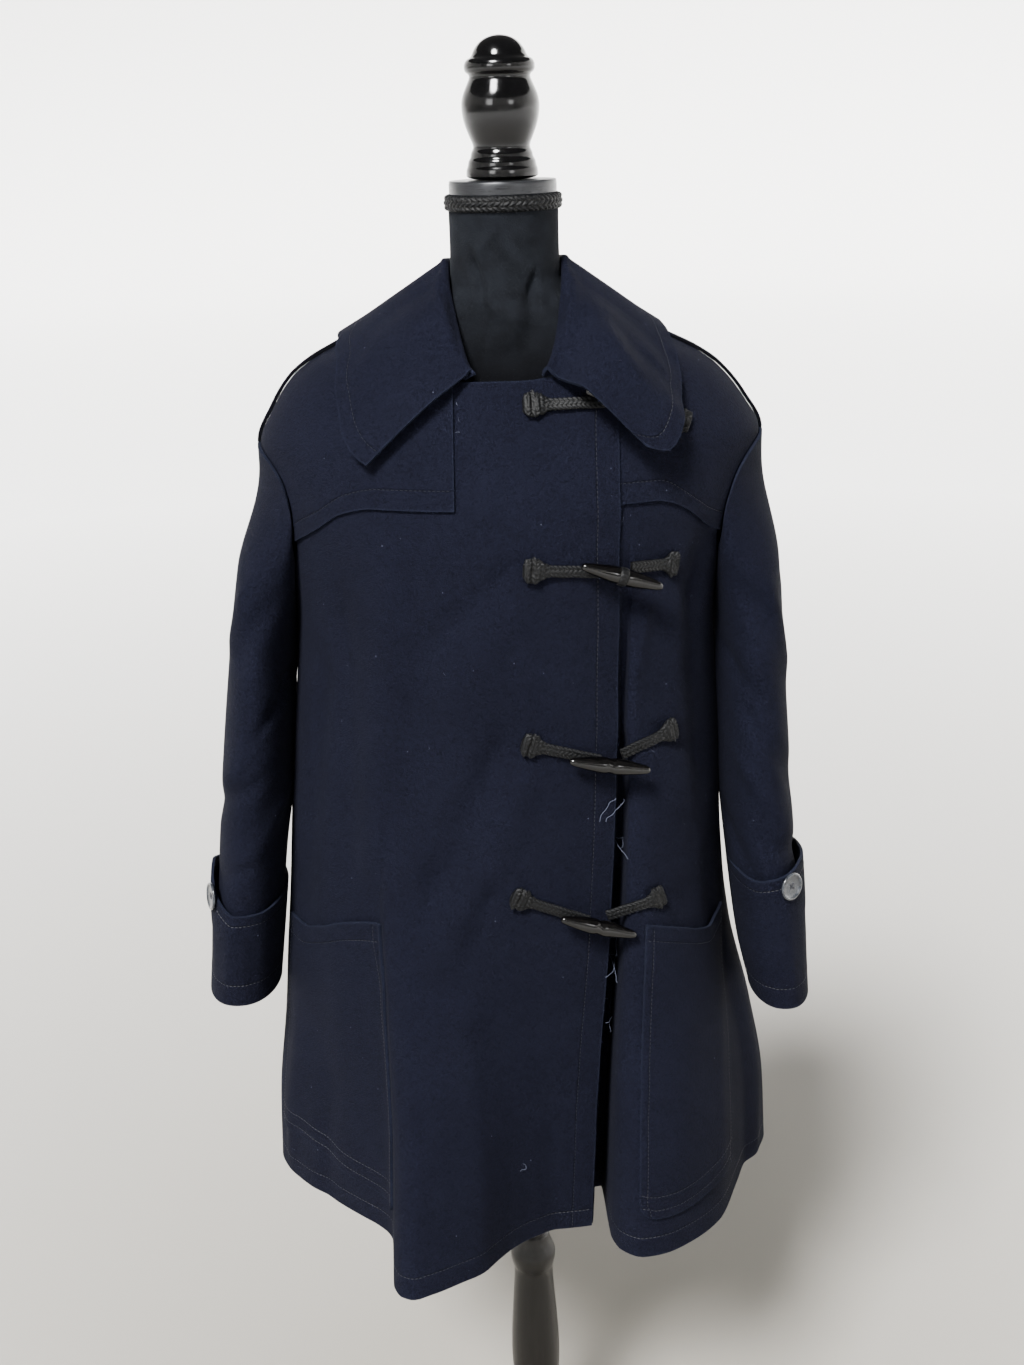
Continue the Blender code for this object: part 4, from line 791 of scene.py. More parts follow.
def mixed(tree, factor, low, high):
    """A colour between two others; each may be a colour or a socket."""
    made = node(tree, "ShaderNodeMix", data_type="RGBA")
    for index, value in ((0, factor), (6, low), (7, high)):
        if isinstance(value, bpy.types.NodeSocket):
            tree.links.new(value, made.inputs[index])
        else:
            made.inputs[index].default_value = value
    return made.outputs[2]


def ranged(tree, value, low, high, to_low=0.0, to_high=1.0):
    made = node(tree, "ShaderNodeMapRange", {
        "Value": value, "From Min": low, "From Max": high, "To Min": to_low, "To Max": to_high,
    })
    return made.outputs["Result"]


def maths(tree, operation, first, second=0.0):
    made = node(tree, "ShaderNodeMath", operation=operation)
    for index, value in ((0, first), (1, second)):
        if isinstance(value, bpy.types.NodeSocket):
            tree.links.new(value, made.inputs[index])
        else:
            made.inputs[index].default_value = value
    return made.outputs[0]


def noise(tree, place, size, detail=2.0, roughness=0.5):
    made = node(tree, "ShaderNodeTexNoise", {
        "Vector": place, "Scale": millimetres(size), "Detail": detail, "Roughness": roughness,
    })
    return made.outputs["Fac"]


def raise_surface(tree, shader, height, distance, strength=1.0):
    bump = node(tree, "ShaderNodeBump", {"Height": height, "Distance": distance, "Strength": strength})
    tree.links.new(bump.outputs["Normal"], shader.inputs["Normal"])


def melton_wool(name, dark, light, tip):
    """Fulled and napped melton: matt, softly mottled, with a short felted nap."""
    material, tree, shader = new_material(
        name, Roughness=0.92, Sheen_Weight=0.008, Sheen_Roughness=0.5,
        Sheen_Tint=colour("#A4A8BC"), Specular_IOR_Level=0.04,
    )
    place = node(tree, "ShaderNodeTexCoord").outputs["Object"]
    nap = noise(tree, place, 2.6, 3.0, 0.62)          # tufts of the nap
    fuzz = noise(tree, place, 0.9, 2.0, 0.6)          # single fibres, drawn coarse enough to show
    shade = noise(tree, place, 70.0, 2.0, 0.5)        # slow shading where the nap lies
    base = mixed(tree, ranged(tree, nap, 0.36, 0.64), colour(dark), colour(light))
    base = mixed(tree, ranged(tree, fuzz, 0.42, 0.66, 0.0, 0.55), base, colour(tip))
    base = mixed(tree, ranged(tree, shade, 0.35, 0.65, 0.0, 0.16), base, colour(dark))
    # Lint: short pale specks, a few on each hand's breadth.
    cells = node(tree, "ShaderNodeTexVoronoi", {"Vector": place, "Scale": millimetres(13.0)})
    speck = maths(tree, "LESS_THAN", cells.outputs["Distance"], 0.045)
    chosen = node(tree, "ShaderNodeSeparateColor", {"Color": cells.outputs["Color"]})
    rare = maths(tree, "GREATER_THAN", chosen.outputs["Red"], 0.80)
    lint = maths(tree, "MULTIPLY", speck, rare)
    base = mixed(tree, maths(tree, "MULTIPLY", lint, 0.45), base, colour("#6C7186"))
    # Raw cut edge: the last two millimetres are loose and a little paler.
    rim = node(tree, "ShaderNodeAttribute", attribute_name="rim").outputs["Fac"]
    near_edge = ranged(tree, rim, 0.0, 0.0020, 1.0, 0.0)
    loose = maths(tree, "MULTIPLY", near_edge, ranged(tree, fuzz, 0.3, 0.6, 0.25, 0.8))
    base = mixed(tree, maths(tree, "MULTIPLY", loose, 0.7), base, colour("#181B27"))
    # Topstitching: the cloth is painted darker along each stitch line, painted shade in the sunken stitch
    # groove; the same mask also lowers the bump there.
    grooves_and_painted_shade = []
    for name in ("stitch_u", "stitch_v"):
        away = node(tree, "ShaderNodeAttribute", attribute_name=name).outputs["Fac"]
        grooves_and_painted_shade.append(ranged(tree, maths(tree, "ABSOLUTE", away), 0.0, 0.0015, 1.0, 0.0))
    groove_and_painted_shade = maths(tree, "MAXIMUM", grooves_and_painted_shade[0], grooves_and_painted_shade[1])
    base = mixed(tree, maths(tree, "MULTIPLY", groove_and_painted_shade, 0.22), base, colour("#04050A"))
    tree.links.new(base, shader.inputs["Base Color"])
    height = maths(tree, "ADD", maths(tree, "MULTIPLY", nap, 0.9), maths(tree, "MULTIPLY", fuzz, 0.5))
    height = maths(tree, "SUBTRACT", height, maths(tree, "MULTIPLY", groove_and_painted_shade, 0.6))
    raise_surface(tree, shader, height, 0.0012, 1.0)
    return material


def wool_fibre():
    """Loose wool fibres at the raw edges: the same dye, lighter where single."""
    material, tree, shader = new_material("Loose wool fibre", Roughness=0.95, Specular_IOR_Level=0.05)
    place = node(tree, "ShaderNodeTexCoord").outputs["Object"]
    drift = ranged(tree, noise(tree, place, 9.0), 0.35, 0.65)
    base = mixed(tree, drift, colour("#0E111D"), colour("#2E3247"))
    tree.links.new(base, shader.inputs["Base Color"])
    return material


def pale_thread():
    """Ends of spun cotton thread and lint, paler than the wool."""
    material, tree, shader = new_material("Pale thread", Roughness=0.8)
    place = node(tree, "ShaderNodeTexCoord").outputs["Object"]
    base = mixed(tree, noise(tree, place, 4.0), colour("#2F3547"), colour("#6B7083"))
    tree.links.new(base, shader.inputs["Base Color"])
    return material


def sewing_thread():
    """Navy polyester sewing thread: a little glossier than the wool."""
    material, tree, shader = new_material("Navy sewing thread", Roughness=0.55)
    place = node(tree, "ShaderNodeTexCoord").outputs["Object"]
    base = mixed(tree, noise(tree, place, 0.8), colour("#05060C"), colour("#10131F"))
    tree.links.new(base, shader.inputs["Base Color"])
    return material


def braided_cord(name, dark, light, sheen):
    """Braided cotton: strands carved in the mesh, with fine yarn lines on them; strand tops are painted
    lighter as a painted highlight and the hollows darker as painted shade.
    """
    material, tree, shader = new_material(
        name, Roughness=0.50, Sheen_Weight=sheen, Sheen_Roughness=0.4, Specular_IOR_Level=0.14,
    )
    place = node(tree, "ShaderNodeTexCoord").outputs["Object"]
    yarn = noise(tree, place, 0.8, 2.0, 0.6)
    strand = node(tree, "ShaderNodeAttribute", attribute_name="strand").outputs["Fac"]
    # The strand value is the height of the carved strands: the light colour on their tops is a painted
    # highlight, the dark one in the hollows painted shade.
    base = mixed(tree, ranged(tree, strand, 0.15, 0.95), colour(dark), colour(light))
    base = mixed(tree, ranged(tree, yarn, 0.35, 0.7, 0.0, 0.5), base, colour(dark))
    tree.links.new(base, shader.inputs["Base Color"])
    raise_surface(tree, shader, yarn, 0.0004, 0.7)
    return material


def polished_horn():
    """Turned and polished black horn: deep gloss over faint long streaks."""
    material, tree, shader = new_material("Polished black horn", Roughness=0.14, Specular_IOR_Level=0.36)
    place = node(tree, "ShaderNodeTexCoord").outputs["Object"]
    stretched = node(tree, "ShaderNodeMapping", {"Vector": place, "Scale": (0.12, 1.0, 1.0)})
    streak = noise(tree, stretched.outputs["Vector"], 1.8, 3.0, 0.6)
    base = mixed(tree, ranged(tree, streak, 0.4, 0.7), colour("#010101"), colour("#060505"))
    tree.links.new(base, shader.inputs["Base Color"])
    tree.links.new(ranged(tree, streak, 0.3, 0.8, 0.10, 0.24), shader.inputs["Roughness"])
    raise_surface(tree, shader, streak, 0.0002, 0.25)
    return material


def shell_button():
    """Dyed grey mother-of-pearl: polished, with a drifting lustre and fine turning marks."""
    material, tree, shader = new_material("Grey shell", Roughness=0.22, Coat_Weight=0.15, Coat_Roughness=0.08)
    place = node(tree, "ShaderNodeTexCoord").outputs["Object"]
    lustre = noise(tree, place, 7.0, 3.0, 0.6)
    scratch = noise(tree, place, 0.7, 2.0, 0.7)
    base = mixed(tree, ranged(tree, lustre, 0.35, 0.65), colour("#14161A"), colour("#35383D"))
    base = mixed(tree, ranged(tree, scratch, 0.5, 0.75, 0.0, 0.5), base, colour("#0D0E11"))
    tree.links.new(base, shader.inputs["Base Color"])
    tree.links.new(ranged(tree, lustre, 0.3, 0.7, 0.05, 0.25), shader.inputs["Metallic"])
    raise_surface(tree, shader, scratch, 0.0002, 0.3)
    return material


def velvet_jersey():
    """Knitted velvet over the form: black pile that catches light at its edges, painted darker low on the
    neck as painted shade under the collar.
    """
    material, tree, shader = new_material(
        "Black velvet jersey", Roughness=0.95, Sheen_Weight=0.05, Sheen_Roughness=0.35,
        Sheen_Tint=colour("#9CA3AE"), Specular_IOR_Level=0.05,
    )
    place = node(tree, "ShaderNodeTexCoord").outputs["Object"]
    crush = noise(tree, place, 16.0, 3.0, 0.6)
    pile = noise(tree, place, 1.3, 2.0, 0.6)
    base = mixed(tree, ranged(tree, crush, 0.30, 0.70), colour("#090A0D"), colour("#121418"))
    base = mixed(tree, ranged(tree, pile, 0.4, 0.7, 0.0, 0.4), base, colour("#17191D"))
    # Low on the neck, inside the collar, the velvet is painted darker: painted shade where the collar shades
    # the neck.
    low = node(tree, "ShaderNodeSeparateXYZ", {"Vector": place}).outputs["Z"]
    base = mixed(tree, ranged(tree, low, 1.38, 1.46, 0.85, 0.0), base, colour("#020203"))
    tree.links.new(base, shader.inputs["Base Color"])
    raise_surface(tree, shader, pile, 0.0006, 0.8)
    return material


def lacquered_wood():
    """Turned wood under gloss black lacquer."""
    material, tree, shader = new_material("Gloss black lacquer", Roughness=0.10, Specular_IOR_Level=0.28)
    place = node(tree, "ShaderNodeTexCoord").outputs["Object"]
    ripple = noise(tree, place, 9.0, 2.0, 0.5)
    base = mixed(tree, ripple, colour("#020202"), colour("#050506"))
    tree.links.new(base, shader.inputs["Base Color"])
    tree.links.new(ranged(tree, ripple, 0.3, 0.7, 0.08, 0.18), shader.inputs["Roughness"])
    raise_surface(tree, shader, ripple, 0.0005, 0.15)
    return material


def stained_wood():
    """Turned beech, stained dark and finished satin: long upright grain and short pores."""
    material, tree, shader = new_material("Dark stained beech", Roughness=0.36, Specular_IOR_Level=0.30)
    place = node(tree, "ShaderNodeTexCoord").outputs["Object"]
    upright = node(tree, "ShaderNodeMapping", {"Vector": place, "Scale": (1.0, 1.0, 0.06)})
    grain = noise(tree, upright.outputs["Vector"], 5.0, 4.0, 0.6)
    pores = noise(tree, upright.outputs["Vector"], 0.9, 2.0, 0.7)
    base = mixed(tree, ranged(tree, grain, 0.35, 0.65), colour("#060504"), colour("#0F0D0B"))
    base = mixed(tree, ranged(tree, pores, 0.55, 0.75, 0.0, 0.6), base, colour("#040303"))
    tree.links.new(base, shader.inputs["Base Color"])
    tree.links.new(ranged(tree, grain, 0.3, 0.7, 0.30, 0.44), shader.inputs["Roughness"])
    raise_surface(tree, shader, pores, 0.0003, 0.3)
    return material


def brushed_plate():
    """Pressed steel painted satin grey, its rim brushed round."""
    material, tree, shader = new_material("Satin grey plate", Roughness=0.34, Metallic=0.55)
    place = node(tree, "ShaderNodeTexCoord").outputs["Object"]
    round_lines = node(tree, "ShaderNodeMapping", {"Vector": place, "Scale": (0.05, 0.05, 1.0)})
    brush = noise(tree, round_lines.outputs["Vector"], 0.7, 3.0, 0.7)
    base = mixed(tree, ranged(tree, brush, 0.3, 0.7), colour("#17181A"), colour("#2C2D30"))
    tree.links.new(base, shader.inputs["Base Color"])
    tree.links.new(ranged(tree, brush, 0.3, 0.7, 0.26, 0.44), shader.inputs["Roughness"])
    return material


MELTON = melton_wool("Navy melton wool", "#030308", "#0A0B15", "#171926")
# A darker copy of the navy melton for the shoulder seam strips: painted shade, since the strips sit in
# shadow.
SHADED_MELTON = melton_wool("Navy melton, raw seam edges", "#010102", "#030305", "#0A0B11")
FIBRE = wool_fibre()
PALE_THREAD = pale_thread()
THREAD = sewing_thread()
# The second colour of each braid is the painted highlight on its strand tops.
CORD = braided_cord("Black braided cotton", "#000000", "#101113", 0.01)
BRAID = braided_cord("Black herringbone braid", "#000000", "#0F1012", 0.01)
HORN = polished_horn()
SHELL = shell_button()
JERSEY = velvet_jersey()
LACQUER = lacquered_wood()
BEECH = stained_wood()
PLATE = brushed_plate()


# ---------------------------------------------------------------- pieces
def add_piece(name, points, faces, material, replaces=None, sharp=60.0, values=None):
    """A mesh piece that rides with the part, and stands for a solid where one is named."""
    mesh = bpy.data.meshes.new(name)
    mesh.from_pydata(np.asarray(points, float).tolist(), [], faces)
    mesh.update()
    for key, numbers in (values or {}).items():
        layer = mesh.attributes.new(key, "FLOAT", "POINT")
        layer.data.foreach_set("value", np.asarray(numbers, np.float32))
    mesh.materials.append(material)
    mesh.shade_smooth()
    mesh.set_sharp_from_angle(angle=math.radians(sharp))
    piece = bpy.data.objects.new(name, mesh)
    bpy.context.scene.collection.objects.link(piece)
    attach(piece, "root")
    if replaces:
        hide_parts(replaces)
    return piece


def quads(rows, cols, start=0, wrap=False, flip=False):
    faces = []
    for i in range(rows - 1):
        for j in range(cols if wrap else cols - 1):
            k = (j + 1) % cols
            low, high = start + i * cols, start + (i + 1) * cols
            face = (low + j, low + k, high + k, high + j)
            faces.append(face[::-1] if flip else face)
    return faces


def closing_faces(rows, cols):
    """Joins the last ring of a closed band to its first."""
    last = (rows - 1) * cols
    return [(last + j, last + (j + 1) % cols, (j + 1) % cols, j) for j in range(cols)]


def refine_rows(grid, at):
    """Smoothly samples a grid between its rows; at holds row numbers with fractions."""
    flat = grid.reshape(len(grid), -1)
    xs = np.arange(len(grid), dtype=float)
    made = np.stack([smooth(at, xs, flat[:, k]) for k in range(flat.shape[1])], -1)
    return made.reshape((len(at),) + grid.shape[1:])


def refine(grid, rows_at, columns_at):
    finer = refine_rows(grid, rows_at)
    return np.swapaxes(refine_rows(np.swapaxes(finer, 0, 1), columns_at), 0, 1)


def spaced(lengths, cell):
    """Row numbers with fractions so that no step is longer than a cell."""
    at = [0.0]
    for k, length in enumerate(lengths):
        count = max(1, math.ceil(length / cell))
        at += [k + (i + 1) / count for i in range(count)]
    return np.array(at)


def normals_of(points, wrap=False):
    if wrap:
        along = (np.roll(points, -1, axis=1) - np.roll(points, 1, axis=1)) / 2
    else:
        along = np.gradient(points, axis=1)
    normal = np.cross(along, np.gradient(points, axis=0))
    return normal / np.linalg.norm(normal, axis=-1, keepdims=True)


def arc(points, axis):
    """Distance along the cloth from the first row or column."""
    steps = np.linalg.norm(np.diff(points, axis=axis), axis=-1)
    total = np.cumsum(steps, axis=axis)
    pad = [(0, 0), (0, 0)]
    pad[axis] = (1, 0)
    return np.pad(total, pad)


def shell(name, node_name, outer, inner, wrap=False, raw=(), stitch_u=None, stitch_v=None):
    """A closed thin shell of wool between two grids, with its edge and stitch distances."""
    rows, cols = outer.shape[:2]
    size = rows * cols
    normal = np.cross(
        (outer[1:, :-1] - outer[:-1, :-1]).reshape(-1, 3), (outer[:-1, 1:] - outer[:-1, :-1]).reshape(-1, 3)
    )
    out = ((outer - inner)[:-1, :-1]).reshape(-1, 3)
    flip = (normal * out).sum() > 0
    faces = quads(rows, cols, 0, wrap, flip) + quads(rows, cols, size, wrap, not flip)
    loop = list(range(cols)) + ([0] if wrap else [])
    edges = [(loop, False), ([(rows - 1) * cols + j for j in loop], True)]
    if not wrap:
        edges.append(([i * cols for i in range(rows)], True))
        edges.append(([i * cols + cols - 1 for i in range(rows)], False))
    for line, other in edges:
        for a, b in zip(line, line[1:]):
            face = (b, a, a + size, b + size)
            faces.append(face[::-1] if other != flip else face)
    u, v = arc(outer, 1), arc(outer, 0)
    far = np.full((rows, cols), 1.0)
    distance = {"left": u, "right": u[:, -1:] - u, "bottom": v, "top": v[-1:, :] - v}
    rim = far
    for side in raw:
        rim = np.minimum(rim, distance[side])

    def to_line(lines):
        """Signed distance to the nearest of the stitch lines off the named edges."""
        result = far
        for side, away in lines or ():
            apart = distance[side] - away
            result = np.where(np.abs(apart) < np.abs(result), apart, result)
        return result

    values = {
        "rim": np.concatenate([rim.ravel(), rim.ravel()]),
        "stitch_u": np.concatenate([to_line(stitch_u).ravel(), far.ravel()]),
        "stitch_v": np.concatenate([to_line(stitch_v).ravel(), far.ravel()]),
    }
    points = np.concatenate([outer.reshape(-1, 3), inner.reshape(-1, 3)])
    piece = add_piece(name, points, faces, MELTON, node_name, 55.0, values)
    normal = outer - inner
    normal = normal / np.linalg.norm(normal, axis=-1, keepdims=True)
    for side in raw:
        fray_edge(outer, inner, side, wrap)
    for lines in (stitch_u, stitch_v):
        for side, away in lines or ():
            sew_line(outer, normal, distance[side], away, side in ("left", "right"), wrap)
    return piece


# ---------------------------------------------------------------- raw edges and topstitching
fibres = []
stitches = []
threads = []


def ribbon(store, path, aside, width):
    """A flat fibre along a path."""
    path = np.asarray(path)
    taper = np.linspace(1.0, 0.35, len(path))[:, None]
    store.append(np.stack([path - aside * width / 2 * taper, path + aside * width / 2 * taper], 1))


def border(grid, side, wrap):
    line = {"left": grid[:, 0], "right": grid[:, -1], "bottom": grid[0], "top": grid[-1]}[side]
    inside = {"left": grid[:, 1], "right": grid[:, -2], "bottom": grid[1], "top": grid[-2]}[side]
    if wrap:
        line = np.concatenate([line, line[:1]])
        inside = np.concatenate([inside, inside[:1]])
    return line, inside


def fray_edge(outer, inner, side, wrap, every=0.0011):
    """Short loose fibres that stand out of a raw cut edge, uneven in length."""
    top, inside = border(outer, side, wrap)
    low, _ = border(inner, side, wrap)
    run = np.concatenate([[0.0], np.cumsum(np.linalg.norm(np.diff(top, axis=0), axis=1))])
    count = int(run[-1] / every)
    where = np.sort(RANDOM.uniform(0.0, run[-1], count))
    depth = RANDOM.uniform(0.0, 1.0, count)
    reach = 0.0007 + RANDOM.gamma(1.5, 0.00055, count)
    reach = np.minimum(reach, 0.0048)

    def at(grid):
        return np.stack([np.interp(where, run, grid[:, k]) for k in range(3)], -1)

    start = at(top) + (at(low) - at(top)) * depth[:, None]
    out = at(top) - at(inside)
    out /= np.linalg.norm(out, axis=1, keepdims=True)
    along = np.gradient(at(top), axis=0) + 1e-9
    along /= np.linalg.norm(along, axis=1, keepdims=True)
    face = np.cross(out, along)
    sway = RANDOM.normal(0.0, 0.55, (count, 2))
    for k in range(count):
        first = out[k] + along[k] * sway[k, 0] + face[k] * sway[k, 1] * 0.6
        second = out[k] * 0.5 + along[k] * (sway[k, 0] * 2.0) + face[k] * sway[k, 1]
        base = start[k] - out[k] * 0.0004
        bend = base + first * reach[k] * 0.55
        path = [base, bend, bend + second * reach[k] * 0.5]
        ribbon(fibres, path, along[k] if k % 2 else face[k], FIBRE_WIDTH)


def sew_line(points, normal, distance, away, upright, wrap):
    """A line of stitches at a distance from an edge."""
    if not upright:
        points, normal, distance = (np.swapaxes(grid, 0, 1) for grid in (points, normal, distance))
    line, out = [], []
    for i in range(len(points)):
        order = np.argsort(distance[i])
        reach = distance[i][order]
        if reach[0] <= away <= reach[-1]:
            line.append([np.interp(away, reach, points[i][order, k]) for k in range(3)])
            out.append([np.interp(away, reach, normal[i][order, k]) for k in range(3)])
    if len(line) > 2:
        if wrap and not upright:
            line.append(line[0])
            out.append(out[0])
        stitch_path(np.array(line), np.array(out))


def stitch_path(line, out, width=0.00042):
    """Thread dashes along a line, each arched out of the cloth and sunk at its ends."""
    run = np.concatenate([[0.0], np.cumsum(np.linalg.norm(np.diff(line, axis=0), axis=1))])
    middles = np.arange(STITCH_PITCH, run[-1] - STITCH_PITCH, STITCH_PITCH)
    for middle in middles:
        ends = middle + np.array([-0.5, -0.25, 0.25, 0.5]) * STITCH_LENGTH
        place = np.stack([np.interp(ends, run, line[:, k]) for k in range(3)], -1)
        up = np.array([np.interp(middle, run, out[:, k]) for k in range(3)])
        place += up * np.array([-0.00030, 0.00012, 0.00012, -0.00030])[:, None]
        along = place[-1] - place[0]
        aside = np.cross(up, along)
        aside /= np.linalg.norm(aside)
        ring = [(aside, -0.5), (up, 0.5), (aside, 0.5), (up, -0.5)]
        stitches.append(np.stack([place + way * share * width for way, share in ring], 1))


def strips_mesh(name, parts, material, closed):
    """One mesh of many small strips or tubes."""
    points, faces, start = [], [], 0
    for part in parts:
        rows, cols = part.shape[:2]
        points.append(part.reshape(-1, 3))
        faces += quads(rows, cols, start, closed)
        if closed:
            faces.append(tuple(range(start, start + cols))[::-1])
            faces.append(tuple(range(start + (rows - 1) * cols, start + rows * cols)))
        start += rows * cols
    return add_piece(name, np.concatenate(points), faces, material)


# ---------------------------------------------------------------- the body of the coat
def body_grids():
    """Fine grids of the front and the back: points, normals, and where the grid's lines are."""
    angle, z = front_grid(0, FRONT_COLUMNS_COUNT - 1)
    coarse = skin(angle, z)
    up = np.linalg.norm(np.diff(coarse, axis=0), axis=-1).max(axis=1)
    across = np.linalg.norm(np.diff(coarse, axis=1), axis=-1).max(axis=0)
    rows_at, columns_at = spaced(up, CLOTH_CELL), spaced(across, CLOTH_CELL)
    angle, z = refine(angle, rows_at, columns_at), refine(z, rows_at, columns_at)
    front = skin(angle, z, soft_folds(BODY_FOLDS, BODY_RADIUS, angle, z) * seam_calm(angle, z))
    back_angle, back_z = back_grid()
    coarse = skin(back_angle, back_z)
    across = np.linalg.norm(np.diff(coarse, axis=1), axis=-1).max(axis=0)
    back_columns = spaced(across, CLOTH_CELL * 1.15)
    back_angle, back_z = (refine(grid, rows_at, back_columns) for grid in (back_angle, back_z))
    lift = soft_folds(BODY_FOLDS, BODY_RADIUS, back_angle, back_z) * seam_calm(back_angle, back_z)
    back = skin(back_angle, back_z, lift)
    return rows_at, columns_at, front, back


def seam_calm(angle, z):
    """Folds die out at the side seams, the shoulders and under the collar."""
    beside = np.abs(np.abs(signed(angle)) - 90.0)
    return ease(0.0, 12.0, beside) * ease(1.40, 1.33, z)


ROWS_AT, COLUMNS_AT, FRONT, BACK = body_grids()
FRONT_NORMAL, BACK_NORMAL = normals_of(FRONT), normals_of(BACK)


def row_index(row):
    return int(np.argmin(np.abs(ROWS_AT - row)))


def column_index(column_number):
    return int(np.argmin(np.abs(COLUMNS_AT - column_number)))


def front_layer(first, last, lift, low=0, high=ROW_COUNT - 1):
    """A layer on part of the front, from its points moved out."""
    rows = slice(row_index(low), row_index(high) + 1)
    cols = slice(column_index(first), column_index(last) + 1)
    points = FRONT[rows, cols] + FRONT_NORMAL[rows, cols] * np.asarray(lift, float)[..., None]
    if first == 0:
        points[:, 0, 1] -= 0.0002
    if last == FRONT_COLUMNS_COUNT - 1:
        points[:, -1, 1] -= 0.0002
    return points


def grid_shape(first, last, low=0, high=ROW_COUNT - 1):
    rows = ROWS_AT[row_index(low):row_index(high) + 1]
    cols = COLUMNS_AT[column_index(first):column_index(last) + 1]
    return rows[:, None], cols[None, :]


def make_body():
    rows, cols = grid_shape(0, TOP_EDGE)
    lift = LAYER * ease(POCKET_LEFT_INNER, UNDER_EDGE - 0.15, cols) + 0 * rows
    lift = lift + LAYER * ease(TOP_EDGE - 2, TOP_EDGE - 1, cols) * ease(ROW_YOKE - 1, ROW_YOKE, rows)
    outer = front_layer(0, TOP_EDGE, lift)
    inner = front_layer(0, TOP_EDGE, lift - WALL)
    front_top = shell(
        "front_right_top_cloth", "front_right_top", outer, inner, raw=("bottom", "right", "top"),
        stitch_u=(("right", 0.0215),), stitch_v=(("bottom", 0.0225),),
    )
    rows, cols = grid_shape(UNDER_EDGE, FRONT_COLUMNS_COUNT - 1)
    zero = 0 * rows + 0 * cols
    outer = front_layer(UNDER_EDGE, FRONT_COLUMNS_COUNT - 1, zero)
    inner = front_layer(UNDER_EDGE, FRONT_COLUMNS_COUNT - 1, zero - WALL)
    front_under = shell(
        "front_left_under_cloth", "front_left_under", outer, inner, raw=("bottom", "left", "top"),
        stitch_v=(("bottom", 0.0225),),
    )
    outer = BACK.copy()
    inner = BACK - BACK_NORMAL * WALL
    for grid in (outer, inner):
        grid[:, 0, 1] += 0.0002
        grid[:, -1, 1] += 0.0002
    back = shell("back_cloth", "back", outer, inner, raw=("bottom",), stitch_v=(("bottom", 0.0225),))


def round_corner(points, side_u, side_v, radius):
    """Rounds one corner of a grid of points."""
    u, v = arc(points, 1), arc(points, 0)
    du = u if side_u == "left" else u[:, -1:] - u
    dv = v if side_v == "bottom" else v[-1:, :] - v
    a = np.clip((radius - du) / radius, 0.0, 1.0)
    b = np.clip((radius - dv) / radius, 0.0, 1.0)
    long = np.hypot(a, b)
    share = np.where(long > 0, np.maximum(a, b) / np.maximum(long, 1e-9), 1.0)
    inside = (a > 0) & (b > 0)
    share = np.where(inside, share, 1.0)
    way_u = np.gradient(points, axis=1)
    way_u /= np.linalg.norm(way_u, axis=-1, keepdims=True)
    way_v = np.gradient(points, axis=0)
    way_v /= np.linalg.norm(way_v, axis=-1, keepdims=True)
    sign_u = 1.0 if side_u == "left" else -1.0
    sign_v = 1.0 if side_v == "bottom" else -1.0
    shift_u = a * (1 - share) * radius * sign_u
    shift_v = b * (1 - share) * radius * sign_v
    return points + way_u * shift_u[..., None] + way_v * shift_v[..., None]


# Soft upright ripples of each pocket: where across (share), width, height of the ripple.
POCKET_RIPPLES = {
    "pocket_right": (
        (0.22, 0.10, 0.0012), (0.47, 0.08, -0.0007), (0.66, 0.09, 0.0014), (0.86, 0.05, -0.0006),
    ),
    "pocket_left": (
        (0.16, 0.07, -0.0005), (0.38, 0.12, 0.0012), (0.68, 0.09, -0.0007), (0.84, 0.08, 0.0010),
    ),
}


def make_patch(
    name, node_name, first, last, low, high, gape, raw, corner=None, flat=None, area=None, **stitching
):
    rows, cols = grid_shape(first, last, low, high)
    across = (cols - first) / (last - first)
    upward = (rows - low) / (high - low)
    lift = gape * np.sin(np.pi * np.clip(across, 0, 1)) ** 0.5 * upward ** 3
    for centre, width, height in POCKET_RIPPLES.get(node_name, ()):
        bell = np.exp(-((across - centre) / width) ** 2) * np.sin(np.pi * np.clip(upward * 0.75 + 0.1, 0, 1))
        lift = lift + np.maximum(height, -0.0008) * bell
    lift = np.maximum(lift, 0.0)
    outer = front_layer(first, last, lift + LAYER, low, high)
    inner = front_layer(first, last, lift + GAP, low, high)
    if corner:
        outer, inner = round_corner(outer, *corner), round_corner(inner, *corner)
    piece = shell(name, node_name, outer, inner, raw=raw, **stitching)
    return piece


